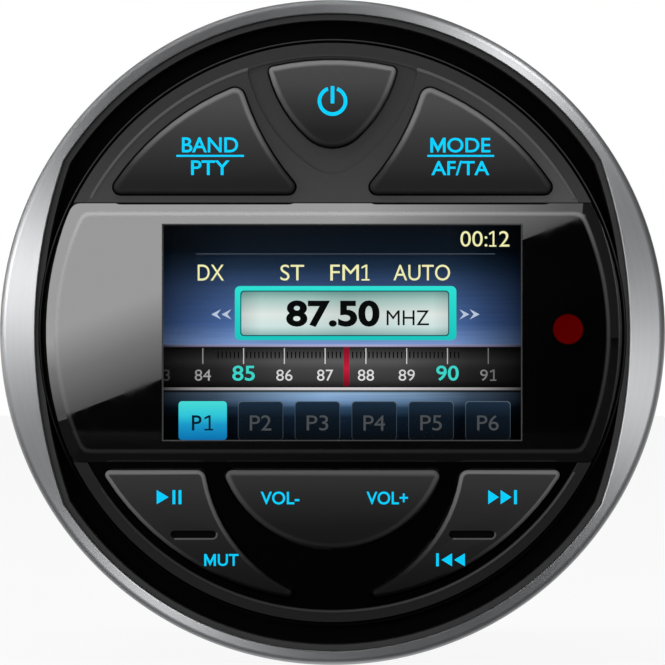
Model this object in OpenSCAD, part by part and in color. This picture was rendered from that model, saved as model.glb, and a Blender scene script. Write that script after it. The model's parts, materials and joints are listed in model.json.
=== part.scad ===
// Round flush-mount marine stereo: a silver-ringed face with six keys and a display,
// a sealed barrel behind the dash, and a clamp bracket that pulls it tight from behind.
// Each piece is drawn with the face upwards: x to the right, y up the face, z out of the dash.
// The stand module then turns it upright, so that the face looks along -Y and +Z is up.

/* [Face] */
// Outside diameter of the trim ring
face_d = 120; // [116:1:130]
// Width of the ring's face at the top and bottom
rim_w = 2.5; // [2.2:0.1:4]
// Wall of the trim ring
ring_wall = 2; // [1.4:0.1:2.4]
// Radius of the ring's rounded outer edge
ring_edge = 1.2; // [0.8:0.1:3]
// Height above the centre at which the opening's side arcs start
corner_y = 31; // [28:1:34]
// Gap between the ring's cheeks and the fascia seal, at mid height
cheek_gap = 0.65; // [0.5:0.05:2]
// Width of the dark channel inside the ring
channel_w = 4.5; // [3.5:0.1:6]
// Depth of the channel's floor below the ring's face
channel_depth = 6; // [5:0.1:6.2]
// Width of the grey lip inside the opening
lip_w = 1; // [0.6:0.1:1.6]
// How far the lip's edge lies below the ring's face
lip_drop = 1.2; // [0.6:0.1:2.5]
// Thickness of the fascia seal
seal_t = 0.7; // [0.5:0.1:1.2]
// How far the fascia's face lies below the ring's face
fascia_drop = 1; // [0.6:0.1:1.2]
// Thickness of the fascia's plate
plate_t = 3.6; // [3.6:0.1:5]
// Width of the raised rim round the fascia
fascia_rim_w = 2.2; // [1.5:0.1:2.6]
// Thickness of the skirt under the fascia's rim
skirt_t = 3; // [2.8:0.1:3.2]
// Depth of the lower key recess below the fascia's face
recess_depth = 1.4; // [1:0.1:1.5]
// Depth of the dished surround of the power key
island_depth = 0.4; // [0.2:0.1:0.8]

/* [Display] */
// Width of the screen's picture
screen_w = 65; // [60:0.5:66]
// Height of the screen's picture
screen_h = 39.2; // [36:0.2:39.6]
// Offset of the screen to the right of the centre
screen_x = 1.75; // [0:0.25:2.5]
// Height of the lens panel
lens_h = 46.7; // [45.8:0.1:47]
// Width of the lens panel's bevel
lens_bevel = 2; // [1:0.1:2.4]
// Depth of the lens panel's bevel
lens_bevel_depth = 1.4; // [0.6:0.1:1.6]
// Corner radius of the lens panel
lens_corner = 2.2; // [2:0.1:3]
// How far the lens panel stands proud of the ring's face
lens_proud = 0.3; // [0:0.1:1]
// Diameter of the remote-control window
ir_d = 5.4; // [4:0.1:6]
// Distance of the remote-control window from the fascia's edge
ir_inset = 9.8; // [9.4:0.1:11]

/* [Keys] */
// How far the keys stand proud of the fascia
key_proud = 0.9; // [0.7:0.1:1.5]
// Gap round the upper keys
key_gap = 0.3; // [0.2:0.05:0.4]
// Gap round the rocker keys
rocker_gap = 0.35; // [0.3:0.05:0.45]
// Rounding of the keys' front edges
key_edge = 0.6; // [0.3:0.05:0.65]
// Reach of the upper keys' hidden flange
flange_reach = 0.9; // [0.6:0.1:1.1]
// Space between the lens panel and the upper keys
upper_land = 1.6; // [1.4:0.1:3]
// Space between the lens panel and the rocker keys
lower_land = 1.45; // [1.2:0.05:3]
// Radius of the power key's sides
power_side_r = 24; // [23:0.25:25]
// Diameter of the rocker pins
pin_d = 1.2; // [1:0.1:1.3]
// Length of the finger slot in the side rockers
slot_l = 8.2; // [6:0.1:10]
// Width of the finger slot
slot_w = 1.35; // [1:0.05:2]
// Depth of the finger slot
slot_depth = 0.9; // [0.4:0.1:1.2]

/* [Housing] */
// How far the face reaches past the barrel, all round
face_reach = 14; // [13.5:0.25:16]
// Length of the barrel behind the dash
barrel_len = 60; // [54:1:80]
// Wall of the barrel
barrel_wall = 2; // [1.6:0.1:2.6]
// Thickness of the dash gasket
gasket_t = 1.5; // [1:0.1:1.9]
// Thickness of the frame's ledge under the front board
ledge_t = 2.7; // [2.5:0.1:4]
// Thickness of the rear cover's plate
cover_t = 4; // [3:0.5:6]
// Height of the cooling fins
fin_h = 6; // [4:0.5:6.5]
// Thickness of a cooling fin
fin_t = 2; // [1.2:0.1:3]
// Number of cooling fins
fin_count = 8; // [4:1:8]
// Length of the standoffs under the main board
standoff_h = 10.2; // [9.5:0.1:14]

/* [Clamp] */
// Thickness of dash panel that the clamp is drawn at
panel_t = 6; // [5:0.5:10]
// Width of the bracket strap
strap_w = 20; // [16:1:21]
// Thickness of the bracket strap
strap_t = 2; // [1.5:0.1:2.6]
// Outside radius of the strap's bends
strap_bend = 5; // [4:0.5:8]
// Diameter of the bracket studs
stud_d = 5; // [4:0.5:6]
// Spacing of the bracket studs
stud_span = 64; // [60:1:66]
// Travel of the clamp each way from where it is drawn
clamp_travel = 4; // [2:0.5:4]

/* [Hidden] */
$fn = 96;

// Small clearances, and the overshoot of a cut past the face that it opens
fit = 0.05;
slack = 0.1;
room = 0.2;
past = 1;
// Largest departure of a drawn outline from its true arc
sag = 0.03;

// Radii of the face
face_r = face_d / 2;
open_r = face_r - rim_w;
seal_r = open_r - channel_w;
fascia_r = seal_r - seal_t - fit;
rim_in_r = fascia_r - fascia_rim_w;
skirt_in_r = fascia_r - skirt_t;
cavity_r = face_r - ring_wall;
open_half = seal_r + cheek_gap;
open_corner_x = sqrt(open_r * open_r - corner_y * corner_y);
open_rise = open_half - open_corner_x;
side_arc_r = (corner_y * corner_y + open_rise * open_rise) / (2 * open_rise);
side_arc_x = side_arc_r - open_half;

// Stack of the front board, its switches and the key mats, from the dash outwards
board_t = 1.6;
board_z = gasket_t + ledge_t;
board_top = board_z + board_t;
board_inset = 4.85;
board_r = fascia_r - board_inset;
switch_h = 2.6;
switch_top = board_top + switch_h;
mat_t = 0.8;
mat_top = switch_top + mat_t;
plate_back = mat_top + room;
fascia_z = plate_back + plate_t;
key_foot = mat_top + slack;
key_top = fascia_z + key_proud;
core_inset = key_edge + 0.2;

// Levels of the face
face_h = fascia_z + fascia_drop;
flange_t = 1.5;
flange_inset = 0.4;
flange_top = gasket_t + flange_t;
ring_web_t = 2;
web_back = face_h - ring_web_t;
channel_z = face_h - channel_depth;
recess_z = fascia_z - recess_depth;
lens_seat_drop = 1.7;
lens_z = fascia_z - lens_seat_drop;
lens_top = face_h + lens_proud;
lens_cover_t = 0.7;
window_top = lens_top - lens_cover_t;
seal_drop = 2.2;
seal_top = face_h - seal_drop;

// Lens, screen and remote control window
lens_half = lens_h / 2;
window_ledge = 0.9;
window_w = screen_w + 2 * window_ledge;
window_h = screen_h + 2 * window_ledge;
lcd_ledge = 1;
lcd_w = window_w + 2 * lcd_ledge;
lcd_h = window_h + lcd_ledge;
lcd_gap = 0.3;
lcd_t = 1.2;
lcd_top = lens_z - slack;
lcd_frame_t = 2.7;
lcd_frame_z = lcd_top - lcd_t - lcd_frame_t;
ir_x = fascia_r - ir_inset;
ir_y = 0.6;
ir_shoulder = 0.6;
ir_shoulder_t = 1;
ir_hole_gap = 0.2;
receiver_w = 6;
receiver_dome_r = 1.8;

// Upper keys: outer arc, lower edge, and an inner edge that curves round the power key
wing_inset = 4.6;
wing_r = fascia_r - wing_inset;
wing_line = lens_half + upper_land;
wing_c = [27, fascia_r + 4.3];
wing_cr = norm(wing_c) - 17.65;
wing_corner = 1.3;
wing_apex = 1.8;

// Power key: top arc, two side arcs and a round tip
power_inset = 2.8;
power_top_r = fascia_r - power_inset;
power_side_c = [-11.5, fascia_r + 0.45];
power_corner = 1.2;
power_tip = 6.8;
island_side_r = power_side_r + 3.45;
island_tip = 5.8;
island_top_r = rim_in_r - 0.2;
island_corner = 1;

// Rockers, worked out above the centre and mirrored below it
rocker_inset = 3.7;
rocker_r = fascia_r - rocker_inset;
rocker_line = lens_half + lower_land;
rocker_c = [4, rocker_line - 3.3];
rocker_cr = rocker_r - 21.3;
rocker_corner = 0.9;
rocker_inner_corner = 1.6;
volume_c = rocker_line + 0.7 * (38.8 - rocker_r);
volume_r = rocker_r - 27.55;
volume_corner = 1.2;
slot_c = polar(rocker_r - 4.35, 55.4);

// Keys' hidden flanges, feet and pins
key_flange_t = 1;
key_flange_z = key_foot + 0.6;
key_flange_top = key_flange_z + key_flange_t;
pocket_top = key_flange_top + slack;
pocket_gap = 0.35;
rocker_body_z = key_foot + 0.3;
foot_r = 1.8;
pin_z = plate_back + 1;
pin_r = pin_d / 2;
pin_seat = 1.5;
pin_press = 0.02;
pin_y = slot_c.y;
side_pin_in = rocker_c.x - sqrt(pow(rocker_cr - rocker_gap, 2) - pow(pin_y - rocker_c.y, 2)) + pin_seat;
side_pin_out = -sqrt(pow(rocker_r + rocker_gap, 2) - pin_y * pin_y) - pin_seat;
volume_pin_in = rocker_line - rocker_gap - pin_seat;
volume_pin_out = volume_c + volume_r + rocker_gap + pin_seat;

// Places of the switches, and so of the keys' feet
power_foot = [0, power_top_r - 8.2];
wing_foot = polar(wing_r - 9.6, 54.6);
rocker_top_foot = polar(rocker_r - 6.1, 43);
rocker_low_foot = polar(rocker_r - 4.25, 66);
volume_foot = [volume_r / 2 + 1, rocker_line + 4.7];
FEET = [
    power_foot, [-wing_foot.x, wing_foot.y], wing_foot,
    [-rocker_top_foot.x, -rocker_top_foot.y], [rocker_top_foot.x, -rocker_top_foot.y],
    [-rocker_low_foot.x, -rocker_low_foot.y], [rocker_low_foot.x, -rocker_low_foot.y],
    [-volume_foot.x, -volume_foot.y], [volume_foot.x, -volume_foot.y]
];
switch_w = 4.5;
switch_body_h = 1.9;
lamp_w = 3;
lamp_h = 1.2;
lamp_shift = 5.2;
mat_edge_gap = 0.4;
mat_lens_gap = 0.3;

// Frame and barrel
barrel_r = face_r - face_reach;
barrel_in_r = barrel_r - barrel_wall;
frame_bore_r = barrel_in_r - 8;
frame_well_r = board_r + 0.4;
gasket_in_r = barrel_r + 1.2;
gasket_out_r = face_r - 2;
boss_r = 3;
boss_bite = 0.4;
boss_c_r = barrel_in_r + boss_bite - boss_r;
boss_len = 12;
rear_z = -barrel_len;
rear_seal_t = 0.8;
cover_in = rear_z - rear_seal_t;
cover_out = cover_in - cover_t;
seal_ring_r = barrel_r - barrel_wall / 2;
seal_cord_r = 0.58;
seal_groove_w = 1.3;

// Screws: shank, pilot and head
screw_r = 1;
screw_hole_r = 1.2;
screw_pilot_r = 1.02;
screw_head_r = 1.9;
screw_head_t = 1.5;
screw_recess_r = 2.1;
board_screw_grip = 2.2;
board_screw_hole_r = 1.3;
board_screw_a = 21;
board_screw_c_r = board_r - 4;
fascia_screw_grip = 3;
fascia_screw_a = 30;
frame_screw_grip = 8;
frame_screw_a = 50;
rear_screw_a = 20;
rear_screw_grip = 8;

// Rear cover, main board and sockets
fin_pitch = 6;
fin_low_gap = 3.5;
fin_edge = 3;
main_board_back = cover_in + standoff_h;
main_board_top = main_board_back + board_t;
main_board_r = barrel_in_r - 6.5;
standoff_r = 3;
STANDOFFS = [for (a = [54.5, 125.5, 200, -20]) polar(main_board_r - 3.4, a)];
socket_end = cover_out - 5.2;
socket_gap = 0.2;
wiring_c = [-10, 21 - barrel_in_r];
wiring_w = 28;
wiring_h = 15;
wiring_wall = 1.6;
wiring_cavity = 13.5;
blade_w = 1;
blade_l = 8;
blade_pitch = 3;
blade_columns = 7;
blade_row = 4.5;
aerial_c = [17, 14 - barrel_in_r];
aerial_r = 5.6;
aerial_bore_r = 4.1;
aerial_depth = 13;
line_out_y = aerial_c.y + 12.5;
LINE_OUTS = [[12, line_out_y], [25.5, line_out_y]];
line_out_r = 4.15;
line_out_bore_r = 1.6;
line_out_body_r = 5;
line_out_l = 9;
line_out_end = cover_out - line_out_l;
line_out_depth = 8;
chip_w = 29;
chip_h = 13;
chip_t = 4.4;
chip_y = 6;
pad_t = 0.8;
chip_leg_w = 0.8;
chip_leg_pitch = 2;
chip_legs = 13;
chip_leg_y = 4;
cap_r = 6.3;
cap_h = 22;
CAPACITORS = [[-17, 12], [-2, 18]];
choke_r = 9;
choke_core_r = 5;
choke_h = 12;
choke_c = [17, 11];
can_size = [18, 15, 7];
can_c = [-17, -19];
wireless_size = [16, 12, 2.4];
wireless_c = [20, -17];
control_size = [12, 12, 1.4];
control_c = [0, -29];
header_size = [23, 6, 8];
header_y = -6;
ribbon_w = 19;
ribbon_t = 0.8;
ribbon_bow = 7;
ribbon_steps = 24;

// Clamp bracket, its studs and nuts
bar_gap = 7.2;
bar_in = cover_out - bar_gap;
bar_out = bar_in - strap_t;
leg_gap = 3;
leg_in = barrel_r + leg_gap;
leg_out = leg_in + strap_t;
foot_cap_t = 1;
foot_cap_l = 6;
leg_end = -panel_t - 1.5;
stud_r = stud_d / 2;
stud_x = stud_span / 2;
stud_gap = 0.25;
stud_head_r = 1.8 * stud_r;
stud_head_t = 3;
washer_r = stud_r + 3.5;
washer_t = 1.2;
washer_gap = 0.2;
spring_washer_r = stud_r + 2.1;
spring_washer_t = 1.5;
nut_gap = 0.06;
nut_r = stud_r + 2.5;
nut_h = 6;
wing_span = 11.5;
wing_t = 2;
wing_lift = 3.6;
wing_tip_r = 3.2;
washer_in = bar_out;
spring_in = washer_in - washer_t;
nut_in = spring_in - spring_washer_t;
nut_out = nut_in - nut_h;
stud_spare = 2;
stud_end = nut_out - wing_lift - clamp_travel - stud_spare;

// Point at a distance and an angle from the face's centre
function polar(r, a) = r * [cos(a), sin(a)];

// Points along an arc, with its end points
function steps(r, sweep) = max(3, ceil(abs(sweep) / (2 * acos(1 - sag / r))));
function arc(c, r, grow, a, b) =
    let (n = steps(r, b - a))
    [for (i = [0 : n]) c + (r + grow) * [cos(a + (b - a) * i / n), sin(a + (b - a) * i / n)]];

// Points along an arc, without its end points
function open_arc(c, r, grow, a, b) =
    let (n = steps(r, b - a))
    [for (i = [1 : n - 1]) c + (r + grow) * [cos(a + (b - a) * i / n), sin(a + (b - a) * i / n)]];

// Angle of a direction, and the point at r1 from the face's centre and r2 from c
function angle_of(v) = atan2(v.y, v.x);
function meet(c, r1, r2, side) =
    let (d = norm(c), a = (r1 * r1 - r2 * r2 + d * d) / (2 * d), h = sqrt(r1 * r1 - a * a))
    (a * c + side * h * [-c.y, c.x]) / d;

// Outline between an outer arc, a level lower edge and a hollow inner arc, with round corners
function wing_outline(r, line, c, cr, corner, inner_corner, tip, grow) =
    let (
        p = [-sqrt(pow(r - corner, 2) - pow(line + corner, 2)), line + corner],
        q = [c.x - sqrt(pow(cr + inner_corner, 2) - pow(line + inner_corner - c.y, 2)), line + inner_corner],
        t = meet(c, r - tip, cr + tip, 1)
    )
    concat(
        arc(p, corner, grow, angle_of(p), 270),
        arc(q, inner_corner, grow, 270, 360 + angle_of(c - q)),
        open_arc(c, cr, -grow, angle_of(q - c), angle_of(t - c)),
        arc(t, tip, grow, angle_of(c - t), angle_of(t)),
        open_arc([0, 0], r, grow, angle_of(t), angle_of(p))
    );

// Outline of the power key and of the dish round it
function power_outline(side_r, tip, top_r, corner, grow) =
    let (
        c = power_side_c,
        b = [0, c.y - sqrt(pow(side_r - tip, 2) - c.x * c.x)],
        t = meet(c, top_r - corner, side_r - corner, -1),
        low = angle_of(b - c),
        high = angle_of(t - c)
    )
    concat(
        arc(b, tip, grow, -180 - low, low),
        open_arc(c, side_r, grow, low, high),
        arc(t, corner, grow, high, angle_of(t)),
        open_arc([0, 0], top_r, grow, angle_of(t), 180 - angle_of(t)),
        arc([-t.x, t.y], corner, grow, 180 - angle_of(t), 180 - high),
        open_arc([-c.x, c.y], side_r, grow, 180 - high, 180 - low)
    );

// Outline of the volume rocker: a disc cut by a level edge, with round corners
function volume_outline(grow) =
    let (
        y = rocker_line + volume_corner,
        x = sqrt(pow(volume_r - volume_corner, 2) - pow(y - volume_c, 2)),
        a = atan2(y - volume_c, x)
    )
    concat(
        arc([x, y], volume_corner, grow, -90, a),
        open_arc([0, volume_c], volume_r, grow, a, 180 - a),
        arc([-x, y], volume_corner, grow, 180 - a, 270)
    );

// Outline of the lens panel: a disc cut by two level edges, with round corners
function lens_outline(grow) =
    let (
        y = lens_half - lens_corner,
        x = sqrt(pow(fascia_r - lens_corner, 2) - y * y),
        a = atan2(y, x)
    )
    concat(
        open_arc([0, 0], fascia_r, grow, -a, a),
        arc([x, y], lens_corner, grow, a, 90),
        arc([-x, y], lens_corner, grow, 90, 180 - a),
        open_arc([0, 0], fascia_r, grow, 180 - a, 180 + a),
        arc([-x, -y], lens_corner, grow, 180 + a, 270),
        arc([x, -y], lens_corner, grow, 270, 360 - a)
    );

function upper_key(grow) =
    wing_outline(wing_r, wing_line, wing_c, wing_cr, wing_corner, wing_corner, wing_apex, grow);
function side_rocker(grow) =
    wing_outline(rocker_r, rocker_line, rocker_c, rocker_cr, rocker_corner,
        rocker_inner_corner, rocker_corner, grow);
function power_shape(grow) =
    power_outline(power_side_r, power_tip, power_top_r, power_corner, grow - key_gap);

// Turns a piece from the bench to its place in the dash
module stand() {
    rotate([90, 0, 0]) children();
}

// Straight solid of an outline between two levels
module slab(z0, z1) {
    translate([0, 0, z0]) linear_extrude(z1 - z0) children();
}

module disc(r, z0, z1) {
    translate([0, 0, z0]) cylinder(r = r, h = z1 - z0);
}

module ring(r_in, r_out, z0, z1) {
    difference() {
        disc(r_out, z0, z1);
        disc(r_in, z0 - past, z1 + past);
    }
}

module block(size, c, z) {
    translate([c.x - size.x / 2, c.y - size.y / 2, z]) cube(size);
}

// Smooth solid through outlines of equal count, each at its own level
module loft(outlines, levels) {
    n = len(outlines[0]);
    last = len(outlines) - 1;
    polyhedron(
        points = [for (i = [0 : last]) for (p = outlines[i]) [p.x, p.y, levels[i]]],
        faces = concat(
            [[for (k = [0 : n - 1]) k]],
            [[for (k = [n - 1 : -1 : 0]) last * n + k]],
            [for (i = [0 : last - 1]) for (k = [0 : n - 1])
                [i * n + k, (i + 1) * n + k, (i + 1) * n + (k + 1) % n]],
            [for (i = [0 : last - 1]) for (k = [0 : n - 1])
                [i * n + k, (i + 1) * n + (k + 1) % n, i * n + (k + 1) % n]]
        )
    );
}

// Growth and level of a key's rounded front edge, from its side to its face
EDGE_STEPS = [0, 30, 60, 90];
EDGE_GROW = [for (a = EDGE_STEPS) key_edge * (cos(a) - 1)];
EDGE_LEVELS = [for (a = EDGE_STEPS) key_top - key_edge * (1 - sin(a))];

// Closed band through outlines of equal count, from the last one back to the first
module band(outlines, levels) {
    n = len(outlines[0]);
    m = len(outlines);
    polyhedron(
        points = [for (i = [0 : m - 1]) for (p = outlines[i]) [p.x, p.y, levels[i]]],
        faces = concat(
            [for (i = [0 : m - 1]) for (k = [0 : n - 1])
                [i * n + k, (i + 1) % m * n + k, (i + 1) % m * n + (k + 1) % n]],
            [for (i = [0 : m - 1]) for (k = [0 : n - 1])
                [i * n + k, (i + 1) % m * n + (k + 1) % n, i * n + (k + 1) % n]]
        )
    );
}

// Key above a level: plain body and core, with a rounded rim round the core
module cap(outlines, core, z) {
    slab(z, EDGE_LEVELS[0]) polygon(outlines[0]);
    slab(z, key_top) polygon(core);
    band(concat(outlines, [core, core]), concat(EDGE_LEVELS, [key_top, EDGE_LEVELS[0]]));
}

module both_sides() {
    children();
    mirror([1, 0, 0]) children();
}

module at_four(r, a) {
    for (turn = [a, 180 - a, 180 + a, 360 - a]) rotate(turn) translate([r, 0, 0]) children();
}

// Screw whose head's seat is at z, with its shank running along -z
module screw(z, grip) {
    disc(screw_r, z - grip, z);
    disc(screw_head_r, z, z + screw_head_t);
}

// Opening of the trim ring: a disc cut at the sides by two flatter arcs
module opening(grow) {
    intersection() {
        circle(open_r + grow);
        translate([side_arc_x, 0]) circle(side_arc_r + grow);
        translate([-side_arc_x, 0]) circle(side_arc_r + grow);
    }
}

module trim_ring() {
    color("silver") stand() difference() {
        rotate_extrude() {
            translate([0, flange_top]) square([face_r, face_h - ring_edge - flange_top]);
            translate([0, flange_top]) square([face_r - ring_edge, face_h - flange_top]);
            translate([face_r - ring_edge, face_h - ring_edge]) circle(ring_edge);
        }
        disc(cavity_r, flange_top - past, web_back);
        slab(web_back - past, face_h + past) opening(0);
    }
}

module channel_lip() {
    color("dimgray") stand() slab(channel_z, face_h - lip_drop) difference() {
        opening(-slack);
        opening(-slack - lip_w);
        circle(seal_r + slack);
    }
}

module front_frame() {
    color([0.05, 0.05, 0.05]) stand() difference() {
        union() {
            disc(face_r - flange_inset, gasket_t, flange_top);
            disc(cavity_r - slack, flange_top, channel_z);
        }
        disc(frame_bore_r, gasket_t - past, channel_z + past);
        disc(frame_well_r, board_z, channel_z + past);
        ring(seal_ring_r - seal_groove_w / 2, seal_ring_r + seal_groove_w / 2,
            gasket_t - past, gasket_t + seal_groove_w);
        at_four(boss_c_r, frame_screw_a) {
            disc(screw_hole_r, gasket_t - past, board_z + past);
            disc(screw_recess_r, board_z - screw_head_t - slack, board_z + past);
        }
        at_four(board_screw_c_r, board_screw_a)
            disc(screw_pilot_r, board_z - board_screw_grip, board_z + past);
        at_four(fascia_r - skirt_t / 2, fascia_screw_a) {
            disc(screw_hole_r, gasket_t - past, channel_z + past);
            disc(screw_recess_r, gasket_t - past, gasket_t + screw_head_t + slack);
        }
    }
}

module dash_gasket() {
    color([0.12, 0.12, 0.12]) stand() ring(gasket_in_r, gasket_out_r, 0, gasket_t);
}

module fascia_seal() {
    color([0.15, 0.15, 0.15]) stand() ring(seal_r - seal_t, seal_r, channel_z, seal_top);
}

// Openings of the fascia for the keys, the screen and the remote window
module fascia_cuts() {
    slab(fascia_z - island_depth, fascia_z + past)
        polygon(power_outline(island_side_r, island_tip, island_top_r, island_corner, 0));
    slab(channel_z - past, fascia_z + past) polygon(power_shape(key_gap));
    slab(channel_z - past, pocket_top) polygon(power_shape(flange_reach + pocket_gap));
    both_sides() {
        slab(channel_z - past, fascia_z + past) polygon(upper_key(key_gap));
        slab(channel_z - past, pocket_top) polygon(upper_key(flange_reach + pocket_gap));
        mirror([0, 1, 0]) slab(channel_z - past, fascia_z + past) polygon(side_rocker(rocker_gap));
    }
    mirror([0, 1, 0]) slab(channel_z - past, fascia_z + past) polygon(volume_outline(rocker_gap));
    block([lcd_w + 2 * lcd_gap, lcd_h + 2 * lcd_gap, fascia_z], [screen_x, 0], channel_z - past);
    translate([ir_x, ir_y]) disc(ir_d / 2 + ir_shoulder + ir_hole_gap, channel_z - past, fascia_z + past);
}

// Bores of the rocker pins, open to the outside of the skirt
module pin_bores(r, out) {
    both_sides() translate([side_pin_in, -pin_y, pin_z]) rotate([0, -90, 0])
        cylinder(r = r, h = out + side_pin_in);
    translate([0, -volume_pin_in, pin_z]) rotate([90, 0, 0]) cylinder(r = r, h = out - volume_pin_in);
}

module fascia() {
    color([0.22, 0.22, 0.22]) stand() difference() {
        disc(fascia_r, channel_z, fascia_z);
        disc(skirt_in_r, channel_z - past, plate_back);
        slab(lens_z, fascia_z + past)
            square([2 * fascia_r + past, 2 * (lens_half + slack)], center = true);
        slab(recess_z, fascia_z + past) intersection() {
            circle(rim_in_r);
            translate([-fascia_r, -2 * fascia_r - lens_half]) square(2 * fascia_r);
        }
        fascia_cuts();
        pin_bores(pin_r + pin_press, fascia_r + past);
        at_four(fascia_r - skirt_t / 2, fascia_screw_a)
            disc(screw_pilot_r, channel_z - past, channel_z + fascia_screw_grip);
    }
}

module lens_panel() {
    color([0.03, 0.03, 0.03]) stand() difference() {
        union() {
            slab(lens_z, lens_top - lens_bevel_depth) polygon(lens_outline(0));
            loft([lens_outline(0), lens_outline(-lens_bevel)], [lens_top - lens_bevel_depth, lens_top]);
        }
        block([window_w + 2 * slack, window_h + 2 * slack, window_top - lens_z + past],
            [screen_x, 0], lens_z - past);
        block([screen_w, screen_h, lens_top], [screen_x, 0], lens_z);
        translate([ir_x, ir_y]) {
            disc(ir_d / 2 + fit, lens_z - past, lens_top + past);
            disc(ir_d / 2 + ir_shoulder + fit, lens_z - past, lens_z + ir_shoulder_t + fit);
        }
    }
}

module display_window() {
    color([0.6, 0.7, 0.8, 0.3]) stand()
        block([window_w, window_h, window_top - lens_z], [screen_x, 0], lens_z);
}

module remote_window() {
    color([0.29, 0, 0]) stand() translate([ir_x, ir_y]) {
        disc(ir_d / 2, lens_z, lens_top - fit);
        disc(ir_d / 2 + ir_shoulder, lens_z, lens_z + ir_shoulder_t);
    }
}

module lcd_panel() {
    color([0.05, 0.08, 0.12]) stand() block([lcd_w, lcd_h, lcd_t], [screen_x, 0], lcd_top - lcd_t);
}

module lcd_frame() {
    color("lightgray") stand() block([lcd_w, lcd_h, lcd_frame_t], [screen_x, 0], lcd_frame_z);
}

module display_cushion() {
    color([0.2, 0.2, 0.22]) stand()
        block([lcd_w - 2 * lcd_ledge, lcd_h - 2 * lcd_ledge, lcd_frame_z - board_top],
            [screen_x, 0], board_top);
}

module front_board() {
    color("darkgreen") stand() difference() {
        disc(board_r, board_z, board_top);
        at_four(board_screw_c_r, board_screw_a) disc(board_screw_hole_r, board_z - past, board_top + past);
    }
}

module key_switches() {
    color([0.2, 0.2, 0.25]) stand() for (p = FEET) {
        block([switch_w, switch_w, switch_body_h], p, board_top);
        translate(p) disc(foot_r, board_top, switch_top);
    }
}

module key_lamps() {
    color([0.9, 0.95, 1]) stand() for (p = FEET)
        block([lamp_w, lamp_w, lamp_h], p + [p.x > 0 ? -lamp_shift : lamp_shift, 0], board_top);
}

module remote_receiver() {
    color([0.1, 0.1, 0.1]) stand() {
        block([receiver_w, receiver_w, switch_h], [ir_x, ir_y], board_top);
        translate([ir_x, ir_y]) disc(receiver_dome_r, board_top, lens_z - room);
    }
}

// Soft mat over one group of switches, inside the frame's well and clear of the display
module key_mat() {
    slab(switch_top, mat_top) intersection() {
        circle(frame_well_r - mat_edge_gap);
        translate([-fascia_r, lcd_h / 2 + lcd_gap + mat_lens_gap]) square(2 * fascia_r);
    }
}

module upper_key_mat() {
    color([0.75, 0.75, 0.72]) stand() key_mat();
}

module lower_key_mat() {
    color([0.75, 0.75, 0.72]) stand() mirror([0, 1, 0]) key_mat();
}

module power_key() {
    color([0.18, 0.18, 0.18]) stand() {
        cap([for (g = EDGE_GROW) power_shape(g)], power_shape(-core_inset), key_flange_z);
        slab(key_flange_z, key_flange_top) polygon(power_shape(flange_reach));
        translate(power_foot) disc(foot_r, key_foot, key_flange_top);
    }
}

// Left-hand upper key: cap, hidden flange and foot
module wing_key() {
    cap([for (g = EDGE_GROW) upper_key(g)], upper_key(-core_inset), key_flange_z);
    slab(key_flange_z, key_flange_top) polygon(upper_key(flange_reach));
    translate([-wing_foot.x, wing_foot.y]) disc(foot_r, key_foot, key_flange_top);
}

module band_key() {
    color([0.18, 0.18, 0.18]) stand() wing_key();
}

module mode_key() {
    color([0.18, 0.18, 0.18]) stand() mirror([1, 0, 0]) wing_key();
}

// Left-hand rocker, drawn above the centre: body with its pin bore, rounded cap, slot and feet
module rocker() {
    difference() {
        union() {
            cap([for (g = EDGE_GROW) side_rocker(g)], side_rocker(-core_inset), rocker_body_z);
            for (p = [rocker_top_foot, rocker_low_foot])
                translate([-p.x, p.y]) disc(foot_r, key_foot, rocker_body_z + past);
        }
        translate([side_pin_out - past, pin_y, pin_z]) rotate([0, 90, 0])
            cylinder(r = pin_r + fit, h = side_pin_in - side_pin_out + 2 * past);
        translate([-slot_c.x, slot_c.y]) slab(key_top - slot_depth, key_top + past) {
            square([slot_l - slot_w, slot_w], center = true);
            both_sides() translate([(slot_l - slot_w) / 2, 0]) circle(slot_w / 2);
        }
    }
}

module play_rocker() {
    color([0.12, 0.12, 0.12]) stand() mirror([0, 1, 0]) rocker();
}

module seek_rocker() {
    color([0.12, 0.12, 0.12]) stand() mirror([1, 0, 0]) mirror([0, 1, 0]) rocker();
}

module volume_rocker() {
    color([0.12, 0.12, 0.12]) stand() mirror([0, 1, 0]) difference() {
        union() {
            cap([for (g = EDGE_GROW) volume_outline(g)], volume_outline(-core_inset), rocker_body_z);
            both_sides() translate(volume_foot) disc(foot_r, key_foot, rocker_body_z + past);
        }
        translate([0, volume_pin_in - past, pin_z]) rotate([-90, 0, 0])
            cylinder(r = pin_r + fit, h = volume_pin_out - volume_pin_in + 2 * past);
    }
}

module rocker_pins() {
    color("silver") stand() {
        both_sides() translate([side_pin_in, -pin_y, pin_z]) rotate([0, -90, 0])
            cylinder(r = pin_r, h = side_pin_in - side_pin_out);
        translate([0, -volume_pin_in, pin_z]) rotate([90, 0, 0])
            cylinder(r = pin_r, h = volume_pin_out - volume_pin_in);
    }
}

module fascia_screws() {
    seat = gasket_t + screw_head_t + slack;
    color("silver") stand() at_four(fascia_r - skirt_t / 2, fascia_screw_a)
        mirror([0, 0, 1]) screw(-seat, channel_z + fascia_screw_grip - room - seat);
}

module front_board_screws() {
    color("silver") stand() at_four(board_screw_c_r, board_screw_a)
        screw(board_top, board_t + board_screw_grip - slack);
}

module frame_screws() {
    color("silver") stand() at_four(boss_c_r, frame_screw_a)
        screw(board_z - screw_head_t - slack, ledge_t - screw_head_t + frame_screw_grip);
}

module barrel_seal() {
    color([0.12, 0.12, 0.12]) stand() translate([0, 0, gasket_t + seal_cord_r]) rotate_extrude()
        translate([seal_ring_r, 0]) circle(seal_cord_r, $fn = 32);
}

// Inner boss of the barrel between two levels, with a pilot from one end
module boss(z0, z1, pilot0, pilot1) {
    difference() {
        disc(boss_r, z0, z1);
        disc(screw_pilot_r, pilot0, pilot1);
    }
}

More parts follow.
